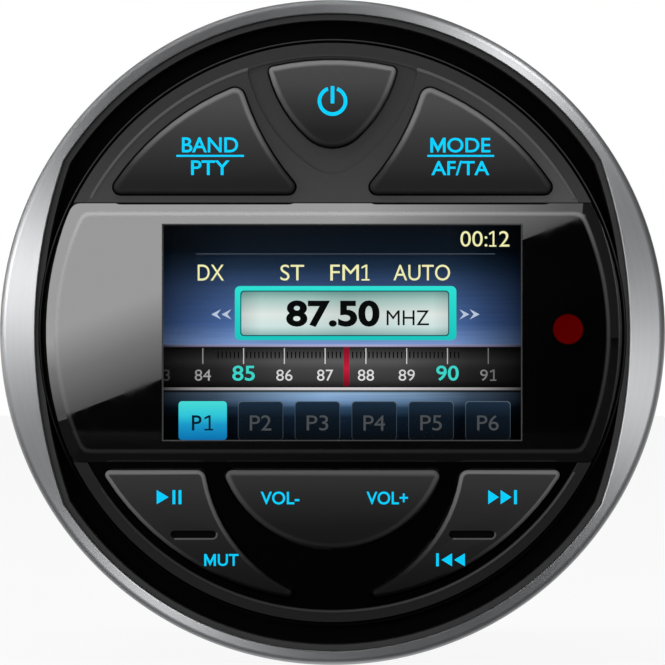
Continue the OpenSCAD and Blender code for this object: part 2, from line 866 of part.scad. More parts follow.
module barrel() {
    color([0.1, 0.1, 0.1]) stand() {
        ring(barrel_in_r, barrel_r, rear_z, gasket_t);
        intersection() {
            disc(barrel_in_r + boss_bite, rear_z, gasket_t);
            union() {
                at_four(boss_c_r, frame_screw_a)
                    boss(gasket_t - boss_len, gasket_t, gasket_t - frame_screw_grip - past, gasket_t + past);
                at_four(boss_c_r, rear_screw_a)
                    boss(rear_z, rear_z + boss_len, rear_z - past, rear_z + rear_screw_grip + past);
            }
        }
    }
}

module rear_seal() {
    color([0.12, 0.12, 0.12]) stand() ring(barrel_in_r + room, barrel_r - room, cover_in, rear_z);
}

// Upright fins above the bracket strap, cut to the cover's round edge
module fins() {
    slab(cover_out - fin_h, cover_out + past) intersection() {
        circle(barrel_r - fin_edge);
        for (i = [0 : fin_count - 1])
            translate([(i - (fin_count - 1) / 2) * fin_pitch - fin_t / 2, strap_w / 2 + fin_low_gap])
                square([fin_t, barrel_r]);
    }
}

module rear_cover() {
    color([0.3, 0.3, 0.32]) stand() difference() {
        union() {
            disc(barrel_r - room, cover_out, cover_in);
            fins();
        }
        block([wiring_w + 2 * socket_gap, wiring_h + 2 * socket_gap, cover_t + 2 * past],
            wiring_c, cover_out - past);
        translate(aerial_c) disc(aerial_r + socket_gap, cover_out - past, cover_in + past);
        for (p = LINE_OUTS) translate(p)
            disc(line_out_body_r + socket_gap, cover_out - past, cover_in + past);
        both_sides() translate([stud_x, 0]) disc(stud_r + fit, cover_out - past, cover_in + past);
        at_four(boss_c_r, rear_screw_a) disc(screw_hole_r, cover_out - past, cover_in + past);
        for (p = STANDOFFS) translate(p) disc(screw_pilot_r, cover_in - cover_t / 2, cover_in + past);
    }
}

module rear_screws() {
    color("silver") stand() at_four(boss_c_r, rear_screw_a)
        mirror([0, 0, 1]) screw(-cover_out, cover_t + rear_seal_t + rear_screw_grip);
}

// Hexagonal pillars, each with a stub that enters the cover and a pilot for its board screw
module board_standoffs() {
    color("gold") stand() for (p = STANDOFFS) translate(p) difference() {
        union() {
            translate([0, 0, cover_in]) cylinder(r = standoff_r, h = standoff_h, $fn = 6);
            disc(screw_r, cover_in - cover_t / 2 + slack, cover_in + past);
        }
        disc(screw_pilot_r, main_board_back - board_screw_grip - past, main_board_back + past);
    }
}

module board_screws() {
    color("silver") stand() for (p = STANDOFFS) translate(p)
        screw(main_board_top, board_t + board_screw_grip);
}

module main_board() {
    color("darkgreen") stand() difference() {
        disc(main_board_r, main_board_back, main_board_top);
        for (p = STANDOFFS) translate(p)
            disc(board_screw_hole_r, main_board_back - past, main_board_top + past);
    }
}

module thermal_pad() {
    color("lightblue") stand() block([chip_w, chip_h, pad_t], [0, chip_y], cover_in);
}

// Package against the pad, with its row of legs up to the board
module amplifier_chip() {
    color([0.12, 0.12, 0.12]) stand() {
        block([chip_w, chip_h, chip_t], [0, chip_y], cover_in + pad_t);
        for (i = [0 : chip_legs - 1])
            block([chip_leg_w, chip_leg_w, standoff_h - pad_t - chip_t / 2],
                [(i - (chip_legs - 1) / 2) * chip_leg_pitch, chip_y - chip_leg_y],
                cover_in + pad_t + chip_t / 2);
    }
}

module filter_capacitors() {
    color([0.1, 0.12, 0.3]) stand() for (p = CAPACITORS) translate(p)
        disc(cap_r, main_board_top, main_board_top + cap_h);
}

module power_choke() {
    color([0.25, 0.2, 0.15]) stand() translate(choke_c)
        ring(choke_core_r, choke_r, main_board_top, main_board_top + choke_h);
}

module tuner_can() {
    color("lightgray") stand() block(can_size, can_c, main_board_top);
}

module wireless_module() {
    color([0.1, 0.2, 0.5]) stand() block(wireless_size, wireless_c, main_board_top);
}

module control_chip() {
    color([0.12, 0.12, 0.12]) stand() block(control_size, control_c, main_board_top);
}

module ribbon_headers() {
    color([0.1, 0.1, 0.1]) stand() {
        block(header_size, [0, header_y], main_board_top);
        block(header_size, [0, header_y], board_z - header_size.z);
    }
}

// Flat cable between the two headers, with a bow of slack
module ribbon_cable() {
    low = main_board_top + header_size.z;
    high = board_z - header_size.z;
    function bow(i) = header_y - ribbon_bow * pow(sin(180 * i / ribbon_steps), 2);
    function level(i) = low + (high - low) * i / ribbon_steps;
    color([0.6, 0.6, 0.62]) stand() rotate([0, -90, 0]) translate([0, 0, -ribbon_w / 2])
        linear_extrude(ribbon_w) polygon(concat(
            [for (i = [0 : ribbon_steps]) [level(i), bow(i) - ribbon_t / 2]],
            [for (i = [ribbon_steps : -1 : 0]) [level(i), bow(i) + ribbon_t / 2]]
        ));
}

module wiring_socket() {
    color([0.12, 0.12, 0.12]) stand() difference() {
        block([wiring_w, wiring_h, main_board_back - socket_end], wiring_c, socket_end);
        block([wiring_w - 2 * wiring_wall, wiring_h - 2 * wiring_wall, wiring_cavity + past],
            wiring_c, socket_end - past);
    }
}

// Two rows of contact blades standing on the socket's floor
module wiring_blades() {
    color("gold") stand() for (i = [0 : blade_columns - 1]) for (row = [-1, 1])
        block([blade_w, blade_w, blade_l],
            wiring_c + [(i - (blade_columns - 1) / 2) * blade_pitch, row * blade_row / 2],
            socket_end + wiring_cavity - blade_l);
}

module aerial_socket() {
    color("silver") stand() translate(aerial_c) difference() {
        disc(aerial_r, socket_end, main_board_back);
        disc(aerial_bore_r, socket_end - past, socket_end + aerial_depth);
    }
}

module line_out_jacks() {
    color("gold") stand() for (p = LINE_OUTS) translate(p) difference() {
        union() {
            disc(line_out_r, line_out_end, cover_out);
            disc(line_out_body_r, cover_out, main_board_back);
        }
        disc(line_out_bore_r, line_out_end - past, line_out_end + line_out_depth);
    }
}

module bracket_studs() {
    color("silver") stand() both_sides() translate([stud_x, 0]) {
        disc(stud_r, stud_end, cover_in + past);
        translate([0, 0, cover_in]) cylinder(r = stud_head_r, h = stud_head_t, $fn = 6);
    }
}

// U-shaped strap: a bar behind the cover with a leg down each side of the barrel
module clamp_bracket() {
    inner_bend = strap_bend - strap_t;
    half = concat(
        [[leg_end, leg_in], [leg_end, leg_out]],
        arc([bar_out + strap_bend, leg_out - strap_bend], strap_bend, 0, 90, 180)
    );
    inner = arc([bar_in + inner_bend, leg_in - inner_bend], inner_bend, 0, 180, 90);
    color("silver") stand() difference() {
        rotate([0, -90, -90]) translate([0, 0, -strap_w / 2]) linear_extrude(strap_w)
            polygon(concat(
                half,
                [for (i = [len(half) - 1 : -1 : 0]) [half[i].x, -half[i].y]],
                [for (i = [len(inner) - 1 : -1 : 0]) [inner[i].x, -inner[i].y]],
                inner
            ));
        both_sides() translate([stud_x, 0]) disc(stud_r + stud_gap, bar_out - past, bar_in + past);
    }
}

// Soft caps on the ends of the bracket's legs
module bracket_feet() {
    color([0.1, 0.1, 0.1]) stand() both_sides() difference() {
        block([strap_t + 2 * foot_cap_t, strap_w + 2 * foot_cap_t, foot_cap_l],
            [(leg_in + leg_out) / 2, 0], -panel_t - foot_cap_l);
        block([strap_t, strap_w, leg_end + panel_t + foot_cap_l + past],
            [(leg_in + leg_out) / 2, 0], -panel_t - foot_cap_l - past);
    }
}

module flat_washers() {
    color("silver") stand() both_sides() translate([stud_x, 0])
        ring(stud_r + washer_gap, washer_r, washer_in - washer_t, washer_in);
}

module spring_washers() {
    color("silver") stand() both_sides() translate([stud_x, 0])
        ring(stud_r + washer_gap, spring_washer_r, nut_in, spring_in);
}

// Hub with two raised wings, threaded on a stud at x
module wing_nut(x) {
    translate([x, 0]) difference() {
        union() {
            disc(nut_r, nut_out, nut_in);
            rotate([90, 0, 0]) translate([0, 0, -wing_t / 2]) linear_extrude(wing_t) both_sides() {
                translate([wing_span - wing_tip_r, nut_out - wing_lift + wing_tip_r]) circle(wing_tip_r);
                polygon([[0, nut_in - nut_h / 3], [0, nut_out],
                    [wing_span - 2 * wing_tip_r, nut_out - wing_lift + wing_tip_r],
                    [wing_span, nut_out - wing_lift + wing_tip_r], [nut_r, nut_in - nut_h / 3]]);
            }
        }
        disc(stud_r + nut_gap, nut_out - wing_lift - past, nut_in + past);
    }
}

module left_wing_nut() {
    color("silver") stand() wing_nut(-stud_x);
}

module right_wing_nut() {
    color("silver") stand() wing_nut(stud_x);
}

trim_ring();
channel_lip();
front_frame();
dash_gasket();
fascia_seal();
fascia();
lens_panel();
display_window();
remote_window();
lcd_panel();
lcd_frame();
display_cushion();
front_board();
key_switches();
key_lamps();
remote_receiver();
upper_key_mat();
lower_key_mat();
power_key();
band_key();
mode_key();
play_rocker();
volume_rocker();
seek_rocker();
rocker_pins();
fascia_screws();
front_board_screws();
frame_screws();
barrel_seal();
barrel();
rear_seal();
rear_cover();
rear_screws();
board_standoffs();
board_screws();
main_board();
amplifier_chip();
thermal_pad();
filter_capacitors();
power_choke();
tuner_can();
wireless_module();
control_chip();
ribbon_cable();
ribbon_headers();
wiring_socket();
wiring_blades();
aerial_socket();
line_out_jacks();
bracket_studs();
clamp_bracket();
bracket_feet();
flat_washers();
spring_washers();
left_wing_nut();
right_wing_nut();
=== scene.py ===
import json
import math

import bmesh
import bpy
from mathutils import Matrix, Vector

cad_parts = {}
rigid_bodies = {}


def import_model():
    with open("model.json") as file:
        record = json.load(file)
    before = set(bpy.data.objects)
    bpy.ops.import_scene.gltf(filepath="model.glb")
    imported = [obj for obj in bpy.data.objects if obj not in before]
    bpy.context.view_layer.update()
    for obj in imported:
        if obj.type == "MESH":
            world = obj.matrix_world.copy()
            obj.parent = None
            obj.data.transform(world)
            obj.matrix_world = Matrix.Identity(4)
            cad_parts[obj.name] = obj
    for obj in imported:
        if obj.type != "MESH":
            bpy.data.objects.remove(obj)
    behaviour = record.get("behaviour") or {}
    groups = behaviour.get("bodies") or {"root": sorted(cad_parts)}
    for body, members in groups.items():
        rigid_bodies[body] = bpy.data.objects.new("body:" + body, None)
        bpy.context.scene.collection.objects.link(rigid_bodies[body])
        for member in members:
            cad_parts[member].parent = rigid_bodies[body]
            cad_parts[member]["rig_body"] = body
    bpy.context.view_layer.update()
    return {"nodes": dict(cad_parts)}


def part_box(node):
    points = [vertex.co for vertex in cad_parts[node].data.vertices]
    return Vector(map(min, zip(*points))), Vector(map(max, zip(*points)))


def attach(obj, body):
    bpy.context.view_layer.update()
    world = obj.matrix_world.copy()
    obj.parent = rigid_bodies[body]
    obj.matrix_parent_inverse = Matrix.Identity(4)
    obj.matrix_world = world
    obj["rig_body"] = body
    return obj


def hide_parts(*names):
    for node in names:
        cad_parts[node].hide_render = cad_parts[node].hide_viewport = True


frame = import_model()
nodes = frame["nodes"]
scene = bpy.context.scene
mm = 0.001
sharpTurn = math.radians(35)  # edges that turn more are corners
flatTurn = math.radians(0.5)  # faces that turn less are one
looseGap = 0.002  # the solids' triangles are loose, and meet within this
drawnGap = 1e-4

# pieces are drawn face up in millimetres: x right, y up the face, z out of the dash
upright = Matrix.Rotation(math.radians(90), 4, "X")
stand = upright @ Matrix.Scale(mm, 4)


def frontOf(node):
    return -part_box(node)[0].y / mm


def backOf(node):
    return -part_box(node)[1].y / mm


def spokeOf(degrees):
    return math.cos(math.radians(degrees)), math.sin(math.radians(degrees))


# meshes

def meshObject(bm, name, material):
    mesh = bpy.data.meshes.new(name)
    bm.to_mesh(mesh)
    bm.free()
    mesh.materials.append(material)
    made = bpy.data.objects.new(name, mesh)
    scene.collection.objects.link(made)
    return made


def finishPiece(bm, name, body, material, stood=True):
    if stood:
        bmesh.ops.transform(bm, matrix=stand, verts=bm.verts)
    piece = meshObject(bm, name, material)
    piece.data.shade_smooth()
    piece.data.set_sharp_from_angle(angle=sharpTurn)
    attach(piece, body)
    return piece


def cadCopy(node):
    bm = bmesh.new()
    bm.from_mesh(nodes[node].data)
    bmesh.ops.remove_doubles(bm, verts=bm.verts, dist=looseGap * mm)
    return bm


def flatten(bm):
    bmesh.ops.dissolve_limit(bm, angle_limit=flatTurn, verts=bm.verts, edges=bm.edges)


def softenEdges(bm, edge, segments=2):
    corners = [e for e in bm.edges if len(e.link_faces) == 2 and e.calc_face_angle() > sharpTurn]
    bmesh.ops.bevel(bm, geom=corners, offset=edge * mm, affect="EDGES", segments=segments,
                    profile=0.5, material=-1, clamp_overlap=True)


def keepFlats(piece):
    flats = piece.modifiers.new("flats", "WEIGHTED_NORMAL")  # large faces stay flat beside rounded edges
    flats.keep_sharp = True


def softCopy(node, name, material, edge, segments=2):
    bm = cadCopy(node)
    flatten(bm)
    if edge:
        softenEdges(bm, edge, segments)
    piece = finishPiece(bm, name, nodes[node]["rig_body"], material, stood=False)
    keepFlats(piece)
    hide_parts(node)
    return piece


def dressNode(node, material):
    nodes[node].data.materials.clear()
    nodes[node].data.materials.append(material)


def sweep(bm, profile, turn=360, start=0, steps=180, center=(0, 0), rise=0):
    # (radius, z) points swept round an axis that stands on the face
    c, s = spokeOf(start)
    verts = [bm.verts.new((center[0] + r * c, center[1] + r * s, z)) for r, z in profile]
    edges = [bm.edges.new(pair) for pair in zip(verts, verts[1:])]
    bmesh.ops.spin(bm, geom=verts + edges, cent=(*center, 0), axis=(0, 0, 1), dvec=(0, 0, rise / steps),
                   angle=math.radians(turn), steps=steps, use_merge=turn == 360, use_duplicate=False)


def closeUp(bm):
    bmesh.ops.remove_doubles(bm, verts=bm.verts, dist=drawnGap)
    bmesh.ops.recalc_face_normals(bm, faces=bm.faces)


def tile(bm, x0, y0, x1, y1, z, corner=0):
    made = bmesh.ops.create_grid(bm, x_segments=1, y_segments=1, size=0.5)["verts"]
    place = Matrix.Translation(((x0 + x1) / 2, (y0 + y1) / 2, z))
    place = place @ Matrix.Diagonal((abs(x1 - x0), abs(y1 - y0), 1, 1))
    bmesh.ops.transform(bm, matrix=place, verts=made)
    if corner:
        bmesh.ops.bevel(bm, geom=made, offset=corner, affect="VERTICES", segments=6, profile=0.5, material=-1)


def polygon(bm, points, z):
    bm.faces.new([bm.verts.new((x, y, z)) for x, y in points])


def triangle(bm, tail, low, tip, high, z):
    made = bmesh.ops.create_circle(bm, cap_ends=True, segments=3, radius=1)["verts"]
    turn = Matrix.Rotation(math.radians(-90 if tip > tail else 90), 4, "Z")
    place = Matrix.Translation((tail + (tip - tail) / 3, (low + high) / 2, z))
    place = place @ Matrix.Diagonal((abs(tip - tail) / 1.5, (high - low) / math.sqrt(3), 1, 1)) @ turn
    bmesh.ops.transform(bm, matrix=place, verts=made)


def arrowHead(bm, tail, low, tip, high, z, notch=0.4):
    middle = (low + high) / 2
    polygon(bm, [(tip, middle), (tail, high), (tail + (tip - tail) * notch, middle), (tail, low)], z)


def words(bm, text, x0, y0, x1, y1, z, weight=0.0):
    curve = bpy.data.curves.new("words", "FONT")
    curve.body = text
    curve.offset = weight
    curve.resolution_u = 5
    holder = bpy.data.objects.new("words", curve)
    scene.collection.objects.link(holder)
    bpy.context.view_layer.update()
    mesh = bpy.data.meshes.new_from_object(holder.evaluated_get(bpy.context.evaluated_depsgraph_get()))
    bpy.data.objects.remove(holder)
    xs = [v.co.x for v in mesh.vertices]
    ys = [v.co.y for v in mesh.vertices]
    fitX, fitY = (x1 - x0) / (max(xs) - min(xs)), (y1 - y0) / (max(ys) - min(ys))
    place = Matrix.Translation((x0 - min(xs) * fitX, y0 - min(ys) * fitY, z))
    mesh.transform(place @ Matrix.Diagonal((fitX, fitY, 1, 1)))
    bm.from_mesh(mesh)
    bpy.data.meshes.remove(mesh)


# drawn letters: shares of the width, the height or the stroke
drawn = {"lean": 0.1, "foot": 0.8, "drop": 0.14, "flag": 1.1, "fall": 2.1}


def figureOne(bm, x0, y0, x1, y1, z, stroke):
    # upright with a flag and a foot
    middle, drop = (x0 + x1) / 2 + drawn["lean"] * (x1 - x0), drawn["drop"] * (y1 - y0)
    left, right, foot = middle - stroke / 2, middle + stroke / 2, y0 + drawn["foot"] * stroke
    tile(bm, left, y0, right, y1, z)
    tile(bm, x0, y0, left, foot, z)
    tile(bm, right, y0, x1, foot, z)
    flag = y1 - drawn["flag"] * stroke
    polygon(bm, [(left, y1), (x0, y1 - drop), (x0, y1 - drop - stroke), (left, flag)], z)


def letterM(bm, x0, y0, x1, y1, z, stroke):
    # two uprights, and two slopes that meet on the line
    middle, fall = (x0 + x1) / 2, drawn["fall"] * stroke
    tile(bm, x0, y0, x0 + stroke, y1, z)
    tile(bm, x1 - stroke, y0, x1, y1, z)
    for side in (x0 + stroke, x1 - stroke):
        polygon(bm, [(side, y1), (middle, y0 + fall), (middle, y0), (side, y1 - fall)], z)


def printed(bm, name, body, material, facing=1):
    bm.normal_update()
    bmesh.ops.reverse_faces(bm, faces=[f for f in bm.faces if f.normal.z * facing < 0])
    finishPiece(bm, name, body, material)


# materials

def tint(code, share=1.0):
    # colour as written on screen, turned to linear light
    parts = [int(code[i:i + 2], 16) / 255 for i in (0, 2, 4)]
    linear = [c / 12.92 if c <= 0.04045 else ((c + 0.055) / 1.055) ** 2.4 for c in parts]
    return tuple(min(1.0, share * c) for c in linear) + (1.0,)


def grey(level):
    return (level, level, level, 1.0)


def emptyMaterial(name):
    material = bpy.data.materials.new(name)
    material.use_nodes = True
    material.cycles.emission_sampling = "NONE"  # only the lamps are sampled as lights, for less noise
    return material


def newMaterial(name, **sockets):
    material = emptyMaterial(name)
    shader = material.node_tree.nodes["Principled BSDF"]
    for key, value in sockets.items():
        shader.inputs[key.replace("_", " ")].default_value = value
    return material, shader


def bareMaterial(name):
    material = emptyMaterial(name)
    material.node_tree.nodes.remove(material.node_tree.nodes["Principled BSDF"])
    return material, material.node_tree.nodes["Material Output"].inputs["Surface"]


def baseColor(material):
    return material.node_tree.nodes["Principled BSDF"].inputs["Base Color"]


def add(material, kind, inputs=None, **settings):
    node = material.node_tree.nodes.new("ShaderNode" + kind)
    for key, value in settings.items():
        setattr(node, key, value)
    for key, value in (inputs or {}).items():
        if isinstance(value, bpy.types.NodeSocket):
            material.node_tree.links.new(value, node.inputs[key])
        else:
            node.inputs[key].default_value = value
    return node


def join(material, output, socket):
    material.node_tree.links.new(output, socket)


def reckon(material, operation, *values):
    return add(material, "Math", dict(enumerate(values)), operation=operation).outputs["Value"]


def ramp(material, factor, stops):
    node = add(material, "ValToRGB", {"Fac": factor})
    points = node.color_ramp.elements
    while len(points) < len(stops):
        points.new(0.5)
    for point, (position, color) in zip(points, stops):
        point.position = position
        point.color = color
    return node.outputs["Color"]


def greyRamp(material, factor, stops):
    return ramp(material, factor, [(at, grey(share)) for at, share in stops])


def specks(material, factor, low):
    return greyRamp(material, factor, [(0.35, low), (0.65, 1.0)])


def uneven(material, factor, color, low, high=1.0):
    return ramp(material, factor, [(0.3, tint(color, low)), (0.7, tint(color, high))])


def spread(material, value, low, high):
    return add(material, "MapRange", {"Value": value, "From Min": low, "From Max": high}).outputs["Result"]


def along(material, value, stops, color=tint, place=float):
    # colours that lie at given millimetres of one measure
    first, last = place(stops[0][0]), place(stops[-1][0])
    share = spread(material, value, first * mm, last * mm)
    return ramp(material, share, [((place(at) - first) / (last - first), color(c)) for at, c in stops])


def blend(material, first, second, share=1.0, way="MIX"):
    mixed = add(material, "Mix", {"Factor": share}, data_type="RGBA", blend_type=way)
    join(material, first, mixed.inputs["A"])
    join(material, second, mixed.inputs["B"])
    return mixed.outputs["Result"]


def times(material, first, second):
    return blend(material, first, second, way="MULTIPLY")


def objectPlace(material):
    place = add(material, "TexCoord").outputs["Object"]
    return place, add(material, "SeparateXYZ", {"Vector": place}).outputs


def fromAxis(material, axes):
    # distance from the axis of the face
    flat = add(material, "CombineXYZ", {"X": axes["X"], "Z": axes["Z"]}).outputs["Vector"]
    return add(material, "VectorMath", {0: flat}, operation="LENGTH").outputs["Value"]


def noise(material, place, scale, detail=3.0):
    return add(material, "TexNoise", {"Vector": place, "Scale": scale, "Detail": detail}).outputs["Fac"]


def roughen(material, shader, fine, low, high, bump=0):
    limits = {"From Min": 0.3, "From Max": 0.7, "To Min": low, "To Max": high}
    rough = add(material, "MapRange", {"Value": fine, **limits}).outputs["Result"]
    join(material, rough, shader.inputs["Roughness"])
    if bump:
        dent = add(material, "Bump", {"Height": fine, "Strength": bump, "Distance": 0.05 * mm})
        join(material, dent.outputs["Normal"], shader.inputs["Normal"])


def grained(name, color, low, high, grain=2500, bump=0.15, even=0.85, **sockets):
    # moulded, rubbery, cast or plated finish: fine grain over slow blotches of tone
    material, shader = newMaterial(name, **sockets)
    place, _ = objectPlace(material)
    blotch = noise(material, place, scale=grain / 18, detail=4)
    join(material, uneven(material, blotch, color, even, 2 - even), baseColor(material))
    roughen(material, shader, noise(material, place, scale=grain, detail=2), low, high, bump)
    return material


def shaded(name, stops, low, high, axis="Z", grain=2600, bump=0.12, **sockets):
    # painted light and shade: a tone that changes along one axis of the object, with a fine grain
    material, shader = newMaterial(name, **sockets)
    place, axes = objectPlace(material)
    fine = noise(material, place, scale=grain, detail=2)
    tone = along(material, axes[axis], stops)
    join(material, times(material, tone, specks(material, fine, 0.93)), baseColor(material))
    roughen(material, shader, fine, low, high, bump)
    return material


print("frame loaded:", len(nodes), "nodes")

# trim ring: brushed round the face, its outer edge rolled over
silverRing = {"soft": 0.22, "color": "a9aaac", "rough": (0.335, 0.365), "lines": 1100, "patch": 60,
              "outer": 60.0, "inner": 58.0, "front": frontOf("trim_ring"), "back": backOf("trim_ring"),
              "roll": 1.2, "rollSteps": 12, "cut": 0.05, "tuck": (0.3, 0.02), "seat": 0.002, "steps": 256}


def brushedSilver():
    material, shader = newMaterial("brushed_silver", Metallic=1.0, Anisotropic=0.95,
                                   Anisotropic_Rotation=0.25)
    place, axes = objectPlace(material)
    lines = add(material, "TexNoise", {"W": fromAxis(material, axes), "Scale": silverRing["lines"]},
                noise_dimensions="1D").outputs["Fac"]
    patch = noise(material, place, silverRing["patch"])
    tone = uneven(material, lines, silverRing["color"], 0.97, 1.03)
    join(material, times(material, tone, specks(material, patch, 0.97)), baseColor(material))
    roughen(material, shader, lines, *silverRing["rough"])
    # brush strokes run round the face's axis
    back = reckon(material, "MULTIPLY", axes["X"], -1.0)
    around = add(material, "CombineXYZ", {"X": axes["Z"], "Z": back}).outputs["Vector"]
    stroke = add(material, "VectorMath", {0: around}, operation="NORMALIZE").outputs["Vector"]
    join(material, stroke, shader.inputs["Tangent"])
    return material


def ringPiece():
    outer, front, back, roll = (silverRing[key] for key in ("outer", "front", "back", "roll"))
    middle, top = outer - roll, front - roll
    bm = cadCopy("trim_ring")
    rolled = [v for v in bm.verts if math.hypot(v.co.x, v.co.z) > (middle + silverRing["cut"]) * mm]
    bmesh.ops.delete(bm, geom=rolled, context="VERTS")
    flatten(bm)
    softenEdges(bm, silverRing["soft"])
    # the rolled edge and the wall behind it
    edge = bmesh.new()
    inward, under = silverRing["tuck"]
    profile = [(middle - inward, front - under)]
    for i in range(silverRing["rollSteps"] + 1):
        c, s = spokeOf(90 - 90 * i / silverRing["rollSteps"])
        profile.append((middle + roll * c, top + roll * s - silverRing["seat"]))
    profile += [(outer, back), (silverRing["inner"], back)]
    sweep(edge, profile, steps=silverRing["steps"])
    closeUp(edge)
    bmesh.ops.transform(edge, matrix=stand, verts=edge.verts)
    spare = bpy.data.meshes.new("ring_edge")
    edge.to_mesh(spare)
    edge.free()
    bm.from_mesh(spare)
    bpy.data.meshes.remove(spare)
    piece = finishPiece(bm, "silver_ring", "housing", brushedSilver(), stood=False)
    keepFlats(piece)
    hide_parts("trim_ring")


ringPiece()

# channel between the ring and the fascia
# the edge colour is a painted highlight along the seal bead's outer edge
channel = {"lip": "343434", "floor": "030303", "bead": "030303", "beadWidth": 0.7, "beadTop": 0.35,
           "beadSoft": 0.1, "beadFlat": 0.35, "beadCorner": 0.05, "grain": 2500,
           "edge": "424242", "highlightWidth": 0.2, "highlightBlur": 0.04, "highlightFade": (-25, 5)}

dressNode("channel_lip", grained("grey_lip", channel["lip"], 0.45, 0.58, even=0.94, Specular_IOR_Level=0.12))
blackPlastic = grained("black_plastic", channel["floor"], 0.5, 0.62, Specular_IOR_Level=0.02)


# black rubber bead with a painted highlight: a lighter line along its outer edge, faded out below the lens
def beadRubber(highlightFrom):
    material, shader = newMaterial("bead_rubber_painted_highlight", Specular_IOR_Level=0.02)
    place, axes = objectPlace(material)
    fine = noise(material, place, channel["grain"], detail=2)
    blur = channel["highlightBlur"]
    edge = spread(material, fromAxis(material, axes), (highlightFrom - blur) * mm, (highlightFrom + blur) * mm)
    dark, light = channel["highlightFade"]  # the edge fades out below the lens
    edge = reckon(material, "MULTIPLY", edge, spread(material, axes["Z"], dark * mm, light * mm))
    tone = ramp(material, edge, [(0.0, tint(channel["bead"])), (1.0, tint(channel["edge"]))])
    join(material, times(material, tone, specks(material, fine, 0.9)), baseColor(material))
    roughen(material, shader, fine, low=0.5, high=0.6, bump=0.1)
    return material


outer, high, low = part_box("fascia_seal")[1].x / mm, frontOf("fascia_seal"), backOf("fascia_seal")
inner, shoulder = outer - channel["beadWidth"], high - channel["beadTop"]
soft, corner = channel["beadSoft"], channel["beadCorner"]
bm = bmesh.new()
sweep(bm, [(inner, low), (inner, shoulder), (inner + soft, high - soft), (inner + channel["beadFlat"], high),
           (outer - corner, high), (outer, high - corner), (outer, low), (inner, low)])
closeUp(bm)
sealBead = finishPiece(bm, "seal_bead", "housing", beadRubber(outer - channel["highlightWidth"]))
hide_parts("fascia_seal")

# fascia: satin above the lens, gloss floor under the rockers
# the plate's tones by height are painted shade, darker towards the bottom
fasciaPlate = {"soft": 0.12, "front": frontOf("fascia"),
               "floorDepth": 0.7, "floor": "020202", "floorRough": (0.14, 0.2),
               "tones": [(-52, "1b1b1b"), (-26, "202020"), (24, "414141"), (33, "383838"), (52, "343434")],
               "ridge": 50.2, "shadeFrom": 12, "shadeTo": 40, "inside": (1.0, 1.45), "outside": (0.85, 0.72)}


def satinFascia():
    material = shaded("satin_fascia_painted_shade", fasciaPlate["tones"], 0.48, 0.58, Specular_IOR_Level=0.1)
    _, axes = objectPlace(material)
    # painted light and shade: towards the right the plate lightens inside the ridge and darkens outside it
    outside = reckon(material, "GREATER_THAN", fromAxis(material, axes), fasciaPlate["ridge"] * mm)
    side = spread(material, axes["X"], fasciaPlate["shadeFrom"] * mm, fasciaPlate["shadeTo"] * mm)
    inner, outer = (greyRamp(material, side, enumerate(fasciaPlate[key])) for key in ("inside", "outside"))
    tone = baseColor(material).links[0].from_socket
    tone = times(material, tone, blend(material, inner, outer, outside))
    join(material, tone, baseColor(material))
    return material


plate = softCopy("fascia", "satin_plate", satinFascia(), fasciaPlate["soft"])
# the lower floor lies deeper than the plate, and is polished
plate.data.materials.append(grained("gloss_floor", fasciaPlate["floor"], *fasciaPlate["floorRough"], bump=0,
                                    even=0.95, Specular_IOR_Level=0.02))
deep, below = -(fasciaPlate["front"] - fasciaPlate["floorDepth"]) * mm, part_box("lens_panel")[0].z
for face in plate.data.polygons:
    face.material_index = 1 if face.center.y > deep and face.center.z < below else 0

# ridges round the plate: (radius, width, start, turn); their pale tones are a painted highlight, which on the
# low ridge grows towards the right
rimRidge = {"right": (49.9, 0.7, 29, 43.2), "left": (49.9, 0.7, 107.8, 43.2), "low": (50.38, 0.5, 214, 116),
            "rise": 0.16, "sink": 0.05, "shoulder": 0.6, "shoulderDrop": 0.03, "rough": (0.4, 0.48),
            "tones": [(20, "4c4c4c"), (52, "525252")],
            "lowHighlightTones": [(-38, "282828"), (0, "303030"), (38, "444444")]}
ridgeHighlight = shaded("ridge_painted_highlight", rimRidge["tones"], *rimRidge["rough"], Specular_IOR_Level=0.2)
lowRidgeHighlight = shaded("low_ridge_painted_highlight", rimRidge["lowHighlightTones"], *rimRidge["rough"], axis="X",
                   Specular_IOR_Level=0.1)
foot, top = fasciaPlate["front"] - rimRidge["sink"], fasciaPlate["front"] + rimRidge["rise"]
for side, finish in (("right", ridgeHighlight), ("left", ridgeHighlight), ("low", lowRidgeHighlight)):
    middle, width, start, turn = rimRidge[side]
    half = width / 2
    shoulder, drop = rimRidge["shoulder"] * half, top - rimRidge["shoulderDrop"]
    bm = bmesh.new()
    sweep(bm, [(middle - half, foot), (middle - shoulder, drop), (middle, top), (middle + shoulder, drop),
               (middle + half, foot)], turn=turn, start=start, steps=48)
    closeUp(bm)
    bmesh.ops.holes_fill(bm, edges=bm.edges, sides=0)
    finishPiece(bm, "rim_ridge_highlight_" + side, "housing", finish)

# lens panel and the windows in it
# line: tones of the painted highlight where the bevel starts, lighter towards the top
lensGloss = {"colors": ("010101", "040404"), "depth": 40, "haze": 220, "rough": (0.0, 0.02),
             "front": frontOf("lens_panel"),
             "highlightHeight": 21.4, "highlightRadius": 49.75, "lineWidth": 1.0, "corner": 2.0,
             "line": [(-21.4, "262626"), (-8, "323232"), (14, "4a4a4a"), (21.4, "686868")],
             "across": [(0.0, 0.0), (0.4, 1.0), (0.6, 1.0), (1.0, 0.0)]}


